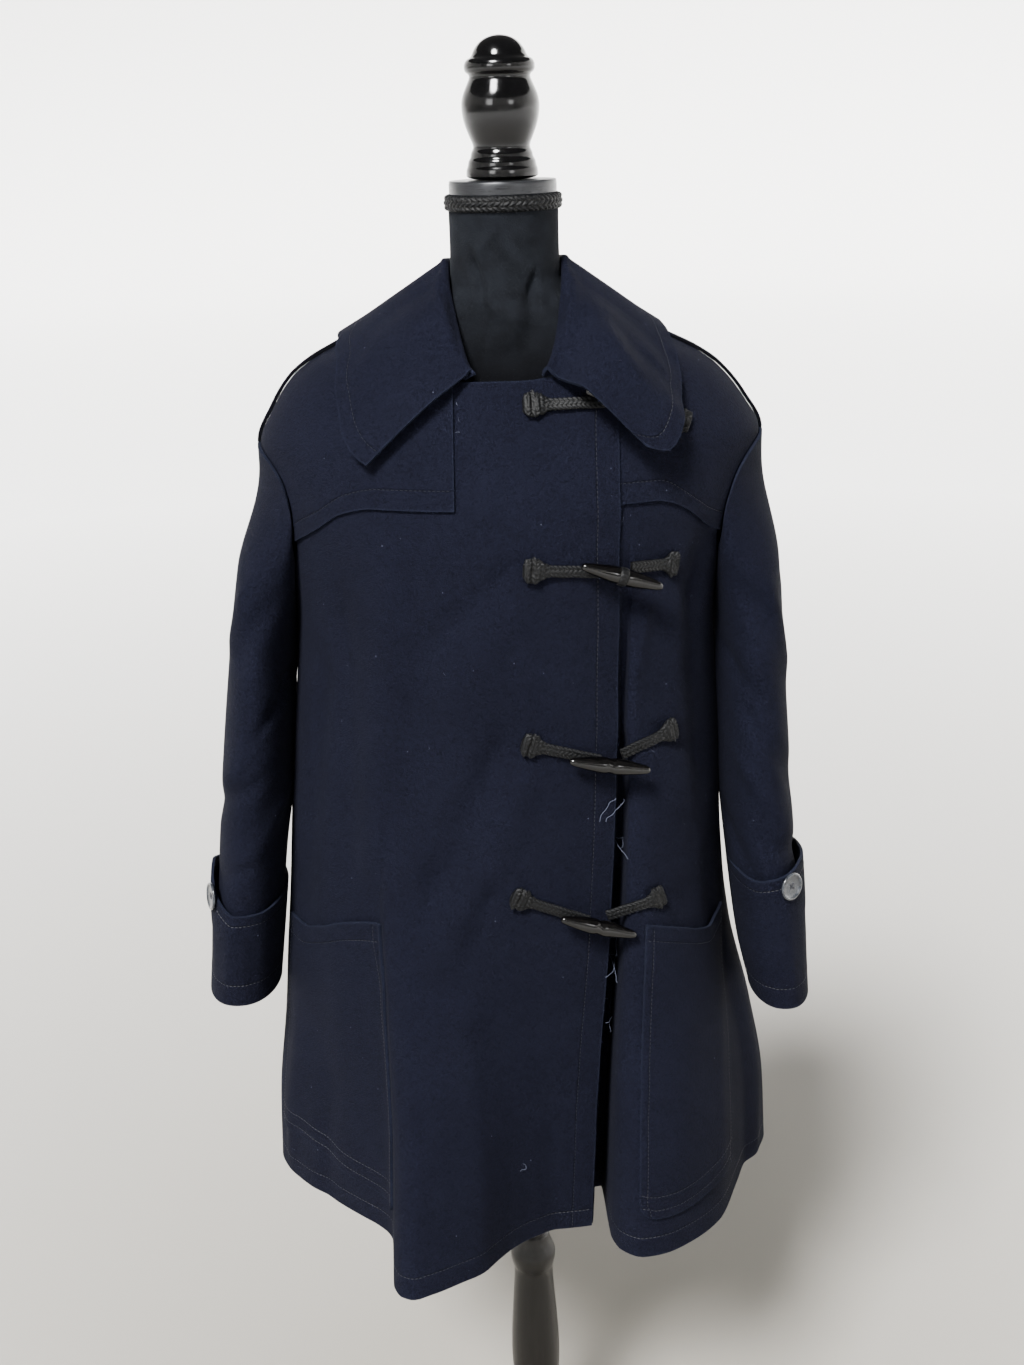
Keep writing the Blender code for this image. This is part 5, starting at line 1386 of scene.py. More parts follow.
def make_patches():
    top = ROW_COUNT - 1
    make_patch(
        "yoke_right_front_cloth", "yoke_right_front", 0, POCKET_LEFT_INNER, ROW_YOKE, top, 0.0,
        ("bottom", "right"), flat=(0.20, 0.26), area=0.041, stitch_v=(("bottom", 0.0185),),
    )
    make_patch(
        "yoke_left_front_cloth", "yoke_left_front", TOP_EDGE - 1, FRONT_COLUMNS_COUNT - 1, ROW_YOKE, top, 0.0,
        ("bottom", "left"), flat=(0.20, 0.26), area=0.039, stitch_v=(("bottom", 0.0185),),
    )
    make_patch(
        "pocket_right_cloth", "pocket_right", POCKET_LEFT_OUTER, POCKET_LEFT_INNER,
        ROW_POCKET_BOTTOM, ROW_POCKET_TOP, POCKET_GAPE, ("bottom", "left", "right", "top"),
        ("right", "bottom", 0.016), flat=(0.20, 0.34), area=0.055,
        stitch_u=(("right", 0.0085), ("left", 0.0085)),
        stitch_v=(("bottom", 0.010), ("bottom", 0.026), ("top", 0.0205)),
    )
    make_patch(
        "pocket_left_cloth", "pocket_left", POCKET_RIGHT_INNER, POCKET_RIGHT_OUTER,
        ROW_POCKET_BOTTOM, ROW_POCKET_TOP, POCKET_GAPE, ("bottom", "left", "right", "top"),
        ("left", "bottom", 0.022), flat=(0.15, 0.34), area=0.047,
        stitch_u=(("left", 0.0085), ("right", 0.0085)),
        stitch_v=(("bottom", 0.010), ("bottom", 0.026), ("top", 0.0165)),
    )


# ---------------------------------------------------------------- sleeves, cuffs, collar
SLEEVE_SIDES = 84
SLEEVE_ROWS = 100
CUFF_ROWS = 26
HEAD_SHARE = 0.20


def fine_ring(side):
    """The armhole's edge, smoothly through more points, periodic."""
    angles, heights = armhole_ring(side)
    count = len(angles)
    at = np.arange(SLEEVE_SIDES) * count / SLEEVE_SIDES + 2.0
    xs = np.arange(count + 4, dtype=float)
    tile = np.concatenate([[angles[-2], angles[-1]], angles, angles[:2]])
    high = np.concatenate([[heights[-2], heights[-1]], heights, heights[:2]])
    return smooth(at, xs, tile), smooth(at, xs, high)


def fine_sleeve(side, table, folds, swell):
    angles, heights = fine_ring(side)
    turns = np.arange(SLEEVE_SIDES) * 360.0 / SLEEVE_SIDES
    over_yoke = LAYER * ease(ARMHOLE[3][0], ARMHOLE[4][0], heights)
    head = skin(angles, heights, over_yoke + GAP + WALL / 2 + 0.0002)
    spread = head - np.array([side * 0.2, 0.0, 1.235])
    spread[:, 0] = 0.0
    spread /= np.linalg.norm(spread, axis=1, keepdims=True)
    t = np.radians(turns)
    way = np.stack([-side * np.cos(t), -np.sin(t), np.zeros(len(t))], -1)
    head = head - spread * 0.0004 + way * swell
    end_z = table[0][0]
    rows = []
    for share in np.linspace(0.0, 1.0, SLEEVE_ROWS) ** 1.15:
        z = heights + (end_z - heights) * share
        calm = ease(0.03, 0.16, share), ease(0.90, 0.76, share)
        crease = soft_folds(folds, SLEEVE_RADIUS, turns, z) * calm[0] * calm[1]
        below = sleeve_ring(table, side, turns, z, swell + crease)
        start = head.copy()
        start[:, 2] = head[:, 2] + (end_z - head[:, 2]) * share
        rows.append(start + (below - start) * ease(0.0, HEAD_SHARE, share))
    return np.array(rows)


def fine_cuff(side, table, cuff, swell):
    turns = np.arange(SLEEVE_SIDES) * 360.0 / SLEEVE_SIDES
    away = np.abs(turns - cuff_value(cuff, "point_turn"))
    point = np.maximum(0.0, 1 - away / cuff_value(cuff, "point_width"))
    height = cuff_value(cuff, "height") + cuff_value(cuff, "point_rise") * point
    low = table[0][0] - 0.001
    rows = []
    for share in np.linspace(0.0, 1.0, CUFF_ROWS):
        z = low + height * share
        ripple = soft_folds(CUFF_FOLDS, SLEEVE_RADIUS, turns, z) * ease(0.0, 0.3, share)
        stand = cuff_stand(turns, share) + np.maximum(ripple, -0.0004 - 0.003 * share)
        rows.append(sleeve_ring(table, side, turns, z, stand + swell))
    return np.array(rows)


def make_sleeves():
    sides = (
        ("right", -1, SLEEVE_LEFT_OF_VIEW, CUFF_LEFT_OF_VIEW, RIGHT_SLEEVE_FOLDS),
        ("left", 1, SLEEVE_RIGHT_OF_VIEW, CUFF_RIGHT_OF_VIEW, LEFT_SLEEVE_FOLDS),
    )
    for word, side, table, cuff, folds in sides:
        outer = fine_sleeve(side, table, folds, WALL / 2)
        inner = fine_sleeve(side, table, folds, -WALL / 2)
        sleeve = shell(f"sleeve_{word}_cloth", f"sleeve_{word}", outer, inner, wrap=True, raw=("bottom",))
        outer = fine_cuff(side, table, cuff, WALL / 2)
        inner = fine_cuff(side, table, cuff, -WALL / 2)
        piece = shell(
            f"cuff_{word}_cloth", f"cuff_{word}", outer, inner, wrap=True, raw=("bottom", "top"),
            stitch_v=(("bottom", 0.0245), ("top", 0.0115)),
        )
        make_button(word, side, table, cuff)


COLLAR_STEP = 2.2       # degrees of seam between the collar's rows
COLLAR_POINTS = 44      # points from its seam over the roll to its edge
# Soft shaping of the fall: where along the collar (share), width, reach at its edge.
COLLAR_WAVES = ((0.07, 0.035, 0.0014), (0.17, 0.05, -0.0012), (0.30, 0.05, 0.0016), (0.42, 0.06, -0.0010),
                (0.55, 0.06, 0.0014), (0.68, 0.05, -0.0010), (0.80, 0.05, 0.0016), (0.92, 0.04, -0.0010))


def make_collar():
    halves = []
    for side, table in ((-1, COLLAR_LEFT_OF_VIEW), (1, COLLAR_RIGHT_OF_VIEW)):
        found = np.arange(COLLAR_START, 180.0, COLLAR_STEP).tolist() + [180.0]
        halves.append([collar_station(table, side, angle) for angle in found])
    coarse = np.array(halves[0] + halves[1][-2::-1])
    at = np.linspace(0.0, coarse.shape[1] - 1.0, COLLAR_POINTS)
    middle = refine(coarse, np.arange(len(coarse), dtype=float), at)
    normal = normals_of(middle)
    share = np.linspace(0.0, 1.0, len(middle))[:, None]
    falls = ease(4.0, coarse.shape[1] - 1.0, at)[None, :]
    wave = sum(height * np.exp(-((share - centre) / width) ** 2) for centre, width, height in COLLAR_WAVES)
    way = np.sign((normal[len(middle) // 2, -1] * np.array([0.0, 1.0, 0.4])).sum())
    middle = middle + normal * way * (wave * falls)[..., None]
    outer, inner = middle + normal * way * WALL / 2, middle - normal * way * WALL / 2
    collar = shell(
        "collar_cloth", "collar", outer, inner, raw=("right", "bottom", "top"),
        stitch_u=(("right", 0.0165),),
    )


def make_shoulder_strips():
    """The raw seam edges that stand along each shoulder: two cut edges side by side."""
    heights = np.array([row_height(row, 90.0) for row in range(LAST_ARMHOLE_ROW, ROW_COUNT - 1)])
    fine = refine_rows(heights[:, None], np.linspace(0.0, len(heights) - 1.0, 60))[:, 0]
    profile = (
        (-0.0046, 0.0004), (-0.0044, 0.0026), (-0.0036, 0.0036), (-0.0020, 0.0038), (-0.0004, 0.0033),
        (0.0004, 0.0033), (0.0020, 0.0038), (0.0036, 0.0037), (0.0044, 0.0027), (0.0046, 0.0004),
    )
    for word, side in (("right", -1), ("left", 1)):
        rings = []
        for k, z in enumerate(fine):
            depth = float(section("back", z) + section("front", z)) / 2
            wander = 0.0003 * math.sin(k * 0.9) + 0.0002 * math.sin(k * 2.3)
            ring = []
            for across, lift in profile:
                angle = side * (90.0 + math.degrees((across + wander) / depth))
                ring.append(skin(angle, z, LAYER + lift))
            rings.append(ring)
        rings = np.array(rings)
        sides = rings.shape[1]
        faces = quads(len(rings), sides, 0, True, side > 0)
        caps = [tuple(range(sides)), tuple(range((len(rings) - 1) * sides, len(rings) * sides))[::-1]]
        faces += caps if side > 0 else [cap[::-1] for cap in caps]
        count = rings.shape[0] * sides
        lift_of = np.tile([lift for _, lift in profile], len(rings))
        values = {
            "rim": np.where(lift_of > 0.003, 0.0040, 0.0030),
            "stitch_u": np.ones(count), "stitch_v": np.ones(count),
        }
        name = f"shoulder_seam_{word}"
        points = rings.reshape(-1, 3)
        # The strips take the darker wool copy: painted shade.
        piece = add_piece(f"{name}_cloth", points, faces, SHADED_MELTON, name, 55.0, values)
        for column_number, inner_number in ((2, 4), (7, 5)):
            grid = rings[:, [column_number, inner_number]]
            fray_edge(grid[:, ::-1], grid[:, ::-1], "right", False, 0.0013)
            fray_edge(grid, rings[:, [1 if column_number == 2 else 8, inner_number]], "left", False, 0.0016)


# ---------------------------------------------------------------- fastenings
def braid_height(along, across, pitch, strand):
    """Height of braided strands: slanted one way in a row and the other way in the next."""
    row = np.floor(across / strand)
    part = across / strand - row
    lean = np.where(row % 2 == 0, 1.0, -1.0)
    phase = along / pitch + lean * (part - 0.5) * 0.95
    return np.abs(np.sin(np.pi * phase)) ** 0.8 * np.maximum(np.sin(np.pi * part), 0.0) ** 0.5


CORD_SIDES = 64
CORD_ROWS = 120
BRAID_PITCH = 0.0042
BRAID_STRAND = 0.0041
# Along a cord from its knot: share of the way, width and thickness. Its end is
# folded back and sewn into a short, tall, rounded lump.
CORD_OUTLINE = (
    (0.00, 0.95, 0.80), (0.02, 1.45, 1.30), (0.06, 1.98, 1.62), (0.10, 2.02, 1.55), (0.14, 1.92, 1.66),
    (0.18, 1.86, 1.50), (0.23, 1.38, 1.30), (0.28, 1.10, 1.10), (0.34, 0.98, 1.00), (0.45, 1.02, 1.00),
    (0.60, 0.97, 1.00), (0.75, 1.03, 1.00), (0.88, 0.98, 1.00), (1.00, 1.00, 1.00),
)


def cord_rings(knot, end, end_height):
    """Centre, side and outward directions, width and thickness along a cord."""
    knot, end = np.array(knot), np.array(end)
    last = front_point(end[0], end[1], end_height)
    stations = []
    for share, width, thick in CORD_OUTLINE:
        x, z = knot + (end - knot) * share
        lift = float(cloth_height(x, z)) + CORD_THICK * thick / 2 + CORD_CLEAR
        point = front_point(x, z, lift)
        if share <= CORD_LEAVES_CLOTH:
            out = front_point(x, z, lift + 0.01) - point
            leaves = point
        else:
            part = (share - CORD_LEAVES_CLOTH) / (1 - CORD_LEAVES_CLOTH)
            straight = leaves + (last - leaves) * part
            point = np.where(straight[1] < point[1], straight, point)
        along = last - point if share < 1 else along
        along = along / np.linalg.norm(along)
        normal = out - along * out.dot(along)
        normal /= np.linalg.norm(normal)
        stations.append(np.concatenate([point, np.cross(normal, along), normal, [width, thick]]))
    return np.array(stations)


def make_cord(name, knot, end, end_height):
    stations = cord_rings(knot, end, end_height)
    shares = np.array([row[0] for row in CORD_OUTLINE])
    at = np.linspace(0.0, 1.0, CORD_ROWS)
    fine = np.stack([smooth(at, shares, stations[:, k]) for k in range(stations.shape[1])], -1)
    run = np.concatenate([[0.0], np.cumsum(np.linalg.norm(np.diff(fine[:, :3], axis=0), axis=1))])
    t = np.arange(CORD_SIDES) * math.tau / CORD_SIDES
    flat = np.sign(np.cos(t)) * np.abs(np.cos(t)) ** 0.8
    high = np.sign(np.sin(t)) * np.abs(np.sin(t)) ** 0.8
    rings, strands = [], []
    for row, along in zip(fine, run):
        half_width, half_thick = CORD_WIDTH * row[9] / 2 * 0.97, CORD_THICK * row[10] / 2 * 0.97
        # The knot is the cord folded back on itself: its strands lie crosswise
        # round it, and its face sinks in the middle.
        knot_share = float(ease(0.27, 0.23, along / run[-1]))
        across = (flat + 1.0) * half_width
        straight = braid_height(along, across, BRAID_PITCH, BRAID_STRAND)
        crosswise = braid_height(across, np.full(len(t), along), BRAID_PITCH, BRAID_STRAND)
        carved = straight + (crosswise - straight) * knot_share
        sink = knot_share * 0.55 * np.exp(-(flat / 0.45) ** 2)
        sink = sink * math.exp(-((along / run[-1] - 0.105) / 0.022) ** 2)
        flats = flat * half_width * (0.88 + 0.15 * carved)
        highs = high * half_thick * (0.62 + 0.46 * carved) * (1 - sink)
        # The folds of the knot: uneven lumps, fading out where the cord begins.
        lump = np.sin(2.0 * t + along * 640.0 + knot[0] * 90.0)
        lump = lump + 0.7 * np.sin(3.0 * t - along * 980.0 + knot[1] * 40.0)
        flats, highs = flats * (1 + 0.060 * knot_share * lump), highs * (1 + 0.085 * knot_share * lump)
        rings.append(row[:3] + flats[:, None] * row[3:6] + highs[:, None] * row[6:9])
        # These strand values drive the painted highlight on strand tops; lowered where the knot's face sinks,
        # they paint shade there.
        strands.append(carved * (1 - sink))
    rings = np.array(rings)
    faces = quads(CORD_ROWS, CORD_SIDES, 0, True)
    faces.append(tuple(range(CORD_SIDES))[::-1])
    faces.append(tuple(range((CORD_ROWS - 1) * CORD_SIDES, CORD_ROWS * CORD_SIDES)))
    values = {"strand": np.array(strands).ravel()}
    return add_piece(f"{name}_braid", rings.reshape(-1, 3), faces, CORD, name, 80.0, values)


def cut_corners(profile, times):
    """A turned profile with its corners eased, its two ends kept."""
    line = np.asarray(profile, float)
    for _ in range(times):
        first = line[:-1] * 0.75 + line[1:] * 0.25
        second = line[:-1] * 0.25 + line[1:] * 0.75
        line = np.concatenate([line[:1], np.stack([first, second], 1).reshape(-1, 2), line[-1:]])
    return line


def turned(name, node_name, profile, material, sides=80, times=2, place=None, turn=None):
    """A turned piece from its eased profile, radius and height, listed from one end to the other."""
    line = cut_corners(profile, times)
    line = line[(line[:, 0] > 1e-6) | (np.arange(len(line)) == 0) | (np.arange(len(line)) == len(line) - 1)]
    body = line[1:-1]
    t = np.arange(sides) * math.tau / sides
    rings = np.stack([
        body[:, :1] * np.cos(t)[None, :], body[:, :1] * np.sin(t)[None, :], np.repeat(body[:, 1:], sides, 1),
    ], -1)
    points = np.concatenate([rings.reshape(-1, 3), [[0, 0, line[0][1]], [0, 0, line[-1][1]]]])
    downward = line[0][1] > line[-1][1]
    faces = quads(len(body), sides, 0, True, downward)
    first, last = len(body) * sides, len(body) * sides + 1
    base = (len(body) - 1) * sides
    for j in range(sides):
        k = (j + 1) % sides
        ends = [(first, k, j), (last, base + j, base + k)]
        faces += [end[::-1] for end in ends] if downward else ends
    if place is not None:
        matrix = np.array(turn.to_matrix())
        points = points @ matrix.T + np.array(place)
    return add_piece(name, points, faces, material, node_name, 50.0)


def make_toggle(number, value):
    tips = np.array([[value["tip1_x"], value["tip1_z"]], [value["tip2_x"], value["tip2_z"]]])
    centre = tips.mean(axis=0)
    lift = 2 * LAYER + CORD_THICK + TOGGLE_RADIUS + value["seat"]
    point = front_point(centre[0] - 0.012, centre[1], lift)
    point[0] = centre[0]
    way = Vector((tips[1][0] - tips[0][0], 0.012, tips[1][1] - tips[0][1]))
    turn = way.to_track_quat("Z", "Y")
    profile = [(r * TOGGLE_RADIUS, z * TOGGLE_LENGTH) for r, z in TOGGLE_PROFILE]
    turned(f"toggle_{number}_horn", f"toggle_{number}", profile[::-1], HORN, 56, 2, point, turn)
    if number == 2:
        wrap_cord(number, np.array(point), np.array(turn.to_matrix()))


def wrap_cord(number, centre, matrix):
    """The cord's turn that shows round the middle of this toggle."""
    sides, rows = 96, 22
    t = np.arange(sides) * math.tau / sides
    rings, strands = [], []
    for s in np.arange(rows) * math.tau / rows:
        along = t * TOGGLE_RADIUS
        across = (math.cos(s) + 1.0) * 0.0045
        carved = braid_height(along, np.full(sides, across), BRAID_PITCH, BRAID_STRAND)
        radius = TOGGLE_RADIUS * 0.86 + 0.0010 * math.sin(s) * (1.0 + 0.5 * carved) + 0.0004
        z = 0.0044 * math.cos(s)
        rings.append(np.stack([radius * np.cos(t), radius * np.sin(t), np.full(sides, z)], -1))
        strands.append(carved)
    points = np.array(rings).reshape(-1, 3) @ matrix.T + centre
    faces = quads(rows, sides, 0, True)
    faces += closing_faces(rows, sides)
    # The strand values drive the painted highlight on the strand tops.
    values = {"strand": np.array(strands).ravel()}
    add_piece(f"toggle_{number}_wrap", points, faces, CORD, None, 80.0, values)


def make_fastenings():
    for number, row in enumerate(FROGS, start=1):
        value = dict(zip(FROG_COLUMNS, row))
        make_toggle(number, value)
        x = (value["tip1_x"] + value["tip2_x"]) / 2
        z = (value["tip1_z"] + value["tip2_z"]) / 2
        under = 2 * LAYER + CORD_THICK / 2 + 0.0007
        make_cord(f"toggle_cord_{number}", (value["knot_x"], value["knot_z"]), (x - 0.012, z + 0.002), under)
        make_cord(f"loop_cord_{number}", (value["loop_x"], value["loop_z"]), (x + 0.006, z + 0.004), under)


BUTTON_PROFILE = (
    (0.0, 0.0), (0.0130, 0.0), (0.0145, 0.0010), (0.0145, 0.0024), (0.0136, 0.0034), (0.0122, 0.0034),
    (0.0112, 0.0026), (0.0104, 0.0020), (0.0060, 0.0018), (0.0, 0.0018),
)


def make_button(word, side, table, cuff):
    """A four-hole shell button with a raised rim, sewn on with crossed thread."""
    point, normal = button_seat(side, table, cuff)
    seat = Vector(point + normal * cuff_value(cuff, "button_lift"))
    turn = Vector(normal).to_track_quat("Z", "Y")
    name = f"cuff_button_{word}"
    turned(f"{name}_shell", name, BUTTON_PROFILE, SHELL, 64, 1, seat, turn)
    matrix = np.array(turn.to_matrix())
    holes = [(a * 0.0024, b * 0.0024) for a in (-1, 1) for b in (-1, 1)]
    parts = []
    for first, second in ((holes[0], holes[3]), (holes[1], holes[2])):
        for shift in (-0.0004, 0.0004):
            start, end = np.array([*first, 0.0016]), np.array([*second, 0.0016])
            aside = np.array([-(end - start)[1], (end - start)[0], 0.0])
            aside /= np.linalg.norm(aside)
            path = [start + (end - start) * s + aside * shift + np.array([0, 0, h]) for s, h in
                    ((-0.04, -0.0003), (0.1, 0.0006), (0.5, 0.0010), (0.9, 0.0006), (1.04, -0.0003))]
            ring = [(aside, 0.5), (np.array([0, 0, 1.0]), 0.5), (aside, -0.5), (np.array([0, 0, 1.0]), -0.5)]
            parts.append(np.stack([np.array(path) + way * share * 0.00055 for way, share in ring], 1))
    for x, y in holes:
        t = np.arange(12) * math.tau / 12
        rim = np.stack([x + 0.00105 * np.cos(t), y + 0.00105 * np.sin(t), np.full(12, 0.0017)], -1)
        cap = rim.copy()
        cap[:, 2] = 0.00192
        parts.append(np.stack([rim, cap], 0))
    parts = [part @ matrix.T + np.array(seat) for part in parts]
    strips_mesh(f"cuff_button_{word}_thread", parts, THREAD, True)


# Ends of thread that hang loose: start X and height on the coat, then how they
# run, in millimetres across and up.
LOOSE_ENDS = (
    (0.088, 0.990, ((0, 0), (-6, -4), (-12, -12), (-16, -21))),
    (0.092, 0.985, ((0, 0), (-3, -7), (-11, -13), (-14, -17))),
    (0.089, 0.935, ((0, 0), (7, 3), (13, -1), (17, -7))),
    (0.082, 0.842, ((0, 0), (5, -8), (6, -18), (1, -27))),
    (0.077, 0.795, ((0, 0), (9, 6), (17, 5), (21, -3))),
    (0.075, 0.740, ((0, 0), (4, -4), (5, -10), (2, -15))),
    (0.083, 0.865, ((0, 0), (6, -5), (4, -13), (8, -20))),
    (-0.012, 0.585, ((0, 0), (4, -5), (1, -9), (-4, -7))),
)


def make_loose_ends():
    for x, z, steps in LOOSE_ENDS:
        line = cut_corners(np.array(steps, float) * 0.001, 2)
        lift = 2 * LAYER + 0.0006
        path = np.array([
            front_point(x + a, z + b, lift + 0.0012 * math.sin(k)) for k, (a, b) in enumerate(line)
        ])
        along = np.gradient(path, axis=0)
        along /= np.linalg.norm(along, axis=1, keepdims=True)
        first = np.cross(along, [0.0, 1.0, 0.2])
        first /= np.linalg.norm(first, axis=1, keepdims=True)
        second = np.cross(along, first)
        sides = ((1, 0), (0, 1), (-1, 0), (0, -1))
        threads.append(np.stack([path + (first * c + second * s) * THREAD_RADIUS for c, s in sides], 1))


def scatter_lint(points, normal, count):
    """Short pale fibres lying on the cloth."""
    rows, cols = points.shape[:2]
    for _ in range(count):
        i, j = RANDOM.integers(4, rows - 4), RANDOM.integers(3, cols - 3)
        start, up = points[i, j] + normal[i, j] * 0.0004, normal[i, j]
        way = points[i + 1, j] - points[i, j]
        way /= np.linalg.norm(way)
        across = np.cross(up, way)
        heading = RANDOM.uniform(0, math.tau)
        length = RANDOM.uniform(0.0015, 0.0045)
        bend = RANDOM.normal(0.0, 0.8)
        path = []
        for s in np.linspace(0.0, 1.0, 4):
            h = heading + bend * s
            path.append(start + (way * math.cos(h) + across * math.sin(h)) * length * s)
        aside = np.cross(path[-1] - path[0], up)
        aside /= np.linalg.norm(aside)
        ribbon(lint, path, aside, LINT_WIDTH)


lint = []


# ---------------------------------------------------------------- the form and its stand
# Soft folds of the velvet at the bottom of the neck: degrees and height from
# and to, width and depth.
NECK_FOLDS = (
    (-34, 1.478, -5, 1.398, 0.0060, -0.0048), (30, 1.462, 6, 1.400, 0.0055, -0.0044),
    (-18, 1.446, 16, 1.428, 0.0070, 0.0030), (-52, 1.440, -18, 1.388, 0.0070, 0.0036),
    (48, 1.442, 20, 1.388, 0.0070, 0.0036), (0, 1.482, 24, 1.452, 0.0055, -0.0026),
    (-12, 1.504, -32, 1.486, 0.0060, 0.0018), (150, 1.455, 190, 1.440, 0.0080, -0.0020),
    (205, 1.470, 235, 1.445, 0.0070, 0.0018),
)
FORM_FINE_SIDES = 144
FORM_ROW = 0.005


def make_form():
    turns = np.arange(FORM_FINE_SIDES) * 360.0 / FORM_FINE_SIDES
    heights = np.linspace(0.790, NECK_TOP_Z, int((NECK_TOP_Z - 0.790) / FORM_ROW))
    rings = np.array([form_point(turns, z) for z in heights])
    out = rings * (1.0, 1.0, 0.0)
    out = out / np.linalg.norm(out, axis=-1, keepdims=True)
    rings = rings + out * soft_folds(NECK_FOLDS, 0.055, turns[None, :], rings[..., 2])[..., None]
    rows = len(heights)
    faces = quads(rows, FORM_FINE_SIDES, 0, True)
    faces.append(tuple(range(FORM_FINE_SIDES))[::-1])
    faces.append(tuple(range((rows - 1) * FORM_FINE_SIDES, rows * FORM_FINE_SIDES)))
    add_piece("form_torso_jersey", rings.reshape(-1, 3), faces, JERSEY, "form_torso", 60.0)


def make_neck_braid():
    """A herringbone braid, three rows of strands high, round the top of the neck."""
    around, up = 460, 24
    t = np.arange(around) * math.tau / around
    rings, strands = [], []
    shares = np.linspace(0.0, 1.0, up)
    profile = [(0.0519 + 0.0026 * math.sin(math.pi * s) ** 0.4, 1.5238 + 0.0140 * s) for s in shares]
    for radius, z in profile:
        carved = braid_height(t * 0.054, np.full(around, z - 1.5238 + 1e-5), 0.0058, 0.00468)
        r = radius - 0.0006 + 0.0017 * carved
        rings.append(np.stack([r * np.sin(t), -r * np.cos(t), z + 0.0003 * np.sin(t * 90.0)], -1))
        strands.append(carved)
    for radius, z in ((0.0519, 1.5378), (0.0519, 1.5238)):
        rings.append(np.stack([radius * np.sin(t), -radius * np.cos(t), np.full(around, z)], -1))
        strands.append(np.zeros(around))
    rows = len(rings)
    faces = quads(rows, around, 0, True)
    faces += closing_faces(rows, around)
    points = np.array(rings).reshape(-1, 3)
    # The strand values drive the painted highlight on the strand tops.
    values = {"strand": np.array(strands).ravel()}
    add_piece("neck_braid_herringbone", points, faces, BRAID, "neck_braid", 80.0, values)


def make_stand():
    turned("neck_plate_satin", "neck_plate", PLATE_PROFILE, PLATE, 112, 1)
    turned("neck_finial_gloss", "neck_finial", FINIAL_PROFILE, LACQUER, 96, 2)
    turned("stand_post_turned", "stand_post", POST_PROFILE, BEECH, 80, 2)
    turned("stand_base_turned", "stand_base", BASE_PROFILE, BEECH, 128, 2)


# ---------------------------------------------------------------- light and camera
FLOOR_NEAR = 0.3        # metres: from here out to FLOOR_FAR the floor turns paler
FLOOR_FAR = 5.5
FLOOR_FLAT = 13.0       # radius where the floor starts to curve up
FLOOR_BEND = 3.0
FLOOR_TOP = 9.0
FLOOR_SIDES = 64
ROOM_STRENGTH = 0.22
SUN_ENERGY = 14.0
SUN_SPREAD = 16.0       # degrees
SUN_WAY = (0.40, 0.80, -1.05)
AIM = (0.0, 0.0, 1.2)   # what both soft boxes point at


# Each soft box: name, place, energy in watts, size.
SOFT_BOXES = (
    ("soft box left", (-1.5, -2.4, 2.2), 36.0, 0.9),
    ("soft box right", (1.4, -2.3, 2.1), 14.0, 0.6),
)


def add_light(name, data, place, way):
    light = bpy.data.objects.new(name, data)
    light.location = place
    light.rotation_euler = way.to_track_quat("-Z", "Y").to_euler()
    bpy.context.scene.collection.objects.link(light)


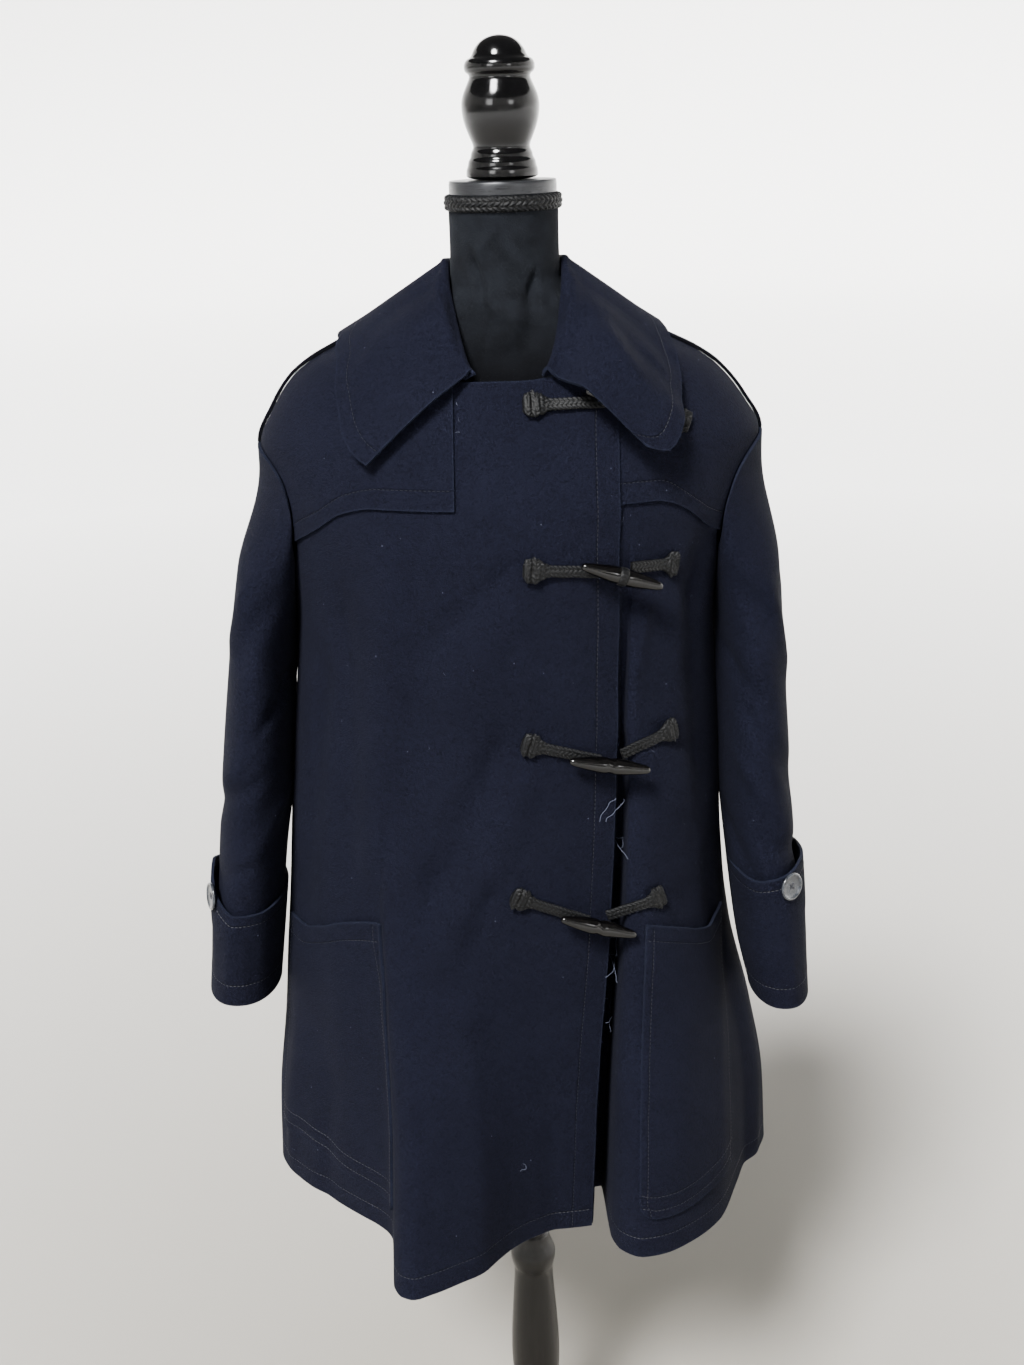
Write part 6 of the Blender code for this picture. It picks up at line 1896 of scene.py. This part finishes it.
def make_stage():
    """A plain pale floor that curves up far away, a sun-like key light and two soft boxes."""
    flat, bend, top, sides = FLOOR_FLAT, FLOOR_BEND, FLOOR_TOP, FLOOR_SIDES
    line = [(0.5, 0.0), (flat / 2, 0.0), (flat, 0.0)]
    for step in range(1, 9):
        turn = math.radians(90.0 * step / 8)
        line.append((flat + bend * math.sin(turn), bend * (1 - math.cos(turn))))
    line.append((flat + bend, top))
    turns = [math.tau * k / sides for k in range(sides)]
    points = [(r * math.cos(t), r * math.sin(t), z) for r, z in line for t in turns]
    faces = [tuple(range(sides))]
    for k in range(len(line) - 1):
        for j in range(sides):
            after = (j + 1) % sides
            faces.append((k * sides + j, (k + 1) * sides + j, (k + 1) * sides + after, k * sides + after))
    mesh = bpy.data.meshes.new("floor")
    mesh.from_pydata(points, [], faces)
    mesh.shade_smooth()
    material, tree, shader = new_material("Pale floor", Roughness=0.9)
    place = node(tree, "ShaderNodeTexCoord").outputs["Object"]
    away = node(tree, "ShaderNodeVectorMath", {"Vector": place}, operation="LENGTH").outputs["Value"]
    far = ranged(tree, away, FLOOR_NEAR, FLOOR_FAR)
    tone = mixed(tree, far, colour("#86827A"), colour("#F8F7F5"))
    tree.links.new(tone, shader.inputs["Base Color"])
    mesh.materials.append(material)
    floor = bpy.data.objects.new("floor", mesh)
    bpy.context.scene.collection.objects.link(floor)
    floor.location.z = -0.0005
    world = bpy.data.worlds.new("pale room")
    bpy.context.scene.world = world
    world.use_nodes = True
    background = world.node_tree.nodes["Background"]
    background.inputs["Color"].default_value = colour("#F2F1EE")
    background.inputs["Strength"].default_value = ROOM_STRENGTH
    sun = bpy.data.lights.new("window", "SUN")
    sun.energy, sun.angle = SUN_ENERGY, math.radians(SUN_SPREAD)
    add_light("window", sun, (0.0, 0.0, 0.0), Vector(SUN_WAY))
    for name, place, energy, size in SOFT_BOXES:
        data = bpy.data.lights.new(name, "AREA")
        data.energy, data.size = energy, size
        add_light(name, data, place, Vector(AIM) - Vector(place))


CAMERA_PLACE = (-0.005, -1.553, 1.615)
CAMERA_DOWN = 19.85     # degrees below level
CAMERA_ROLL = 1.7
CAMERA_LENS = 42.2      # for a 36 mm tall frame


def make_camera():
    data = bpy.data.cameras.new("camera")
    data.sensor_fit = "VERTICAL"
    data.sensor_height = 36.0
    data.lens = CAMERA_LENS
    down, roll = math.radians(CAMERA_DOWN), math.radians(CAMERA_ROLL)
    right0 = Vector((1.0, 0.0, 0.0))
    up0 = Vector((0.0, math.sin(down), math.cos(down)))
    right = right0 * math.cos(roll) - up0 * math.sin(roll)
    up = up0 * math.cos(roll) + right0 * math.sin(roll)
    ahead = Vector((0.0, math.cos(down), -math.sin(down)))
    camera = bpy.data.objects.new("camera", data)
    camera.matrix_world = Matrix((
        (right.x, up.x, -ahead.x, CAMERA_PLACE[0]),
        (right.y, up.y, -ahead.y, CAMERA_PLACE[1]),
        (right.z, up.z, -ahead.z, CAMERA_PLACE[2]),
        (0.0, 0.0, 0.0, 1.0),
    ))
    bpy.context.scene.collection.objects.link(camera)
    bpy.context.scene.camera = camera


make_camera()
make_shoulder_strips()
make_body()
make_patches()
make_sleeves()
make_collar()
make_fastenings()
make_form()
make_neck_braid()
make_stand()
make_loose_ends()
scatter_lint(FRONT, FRONT_NORMAL, 90)
scatter_lint(BACK, BACK_NORMAL, 60)
strips_mesh("raw_edge_fibres", fibres, FIBRE, False)
strips_mesh("topstitching", stitches, THREAD, True)
strips_mesh("loose_thread_ends", threads, PALE_THREAD, True)
strips_mesh("lint", lint, PALE_THREAD, False)
make_stage()
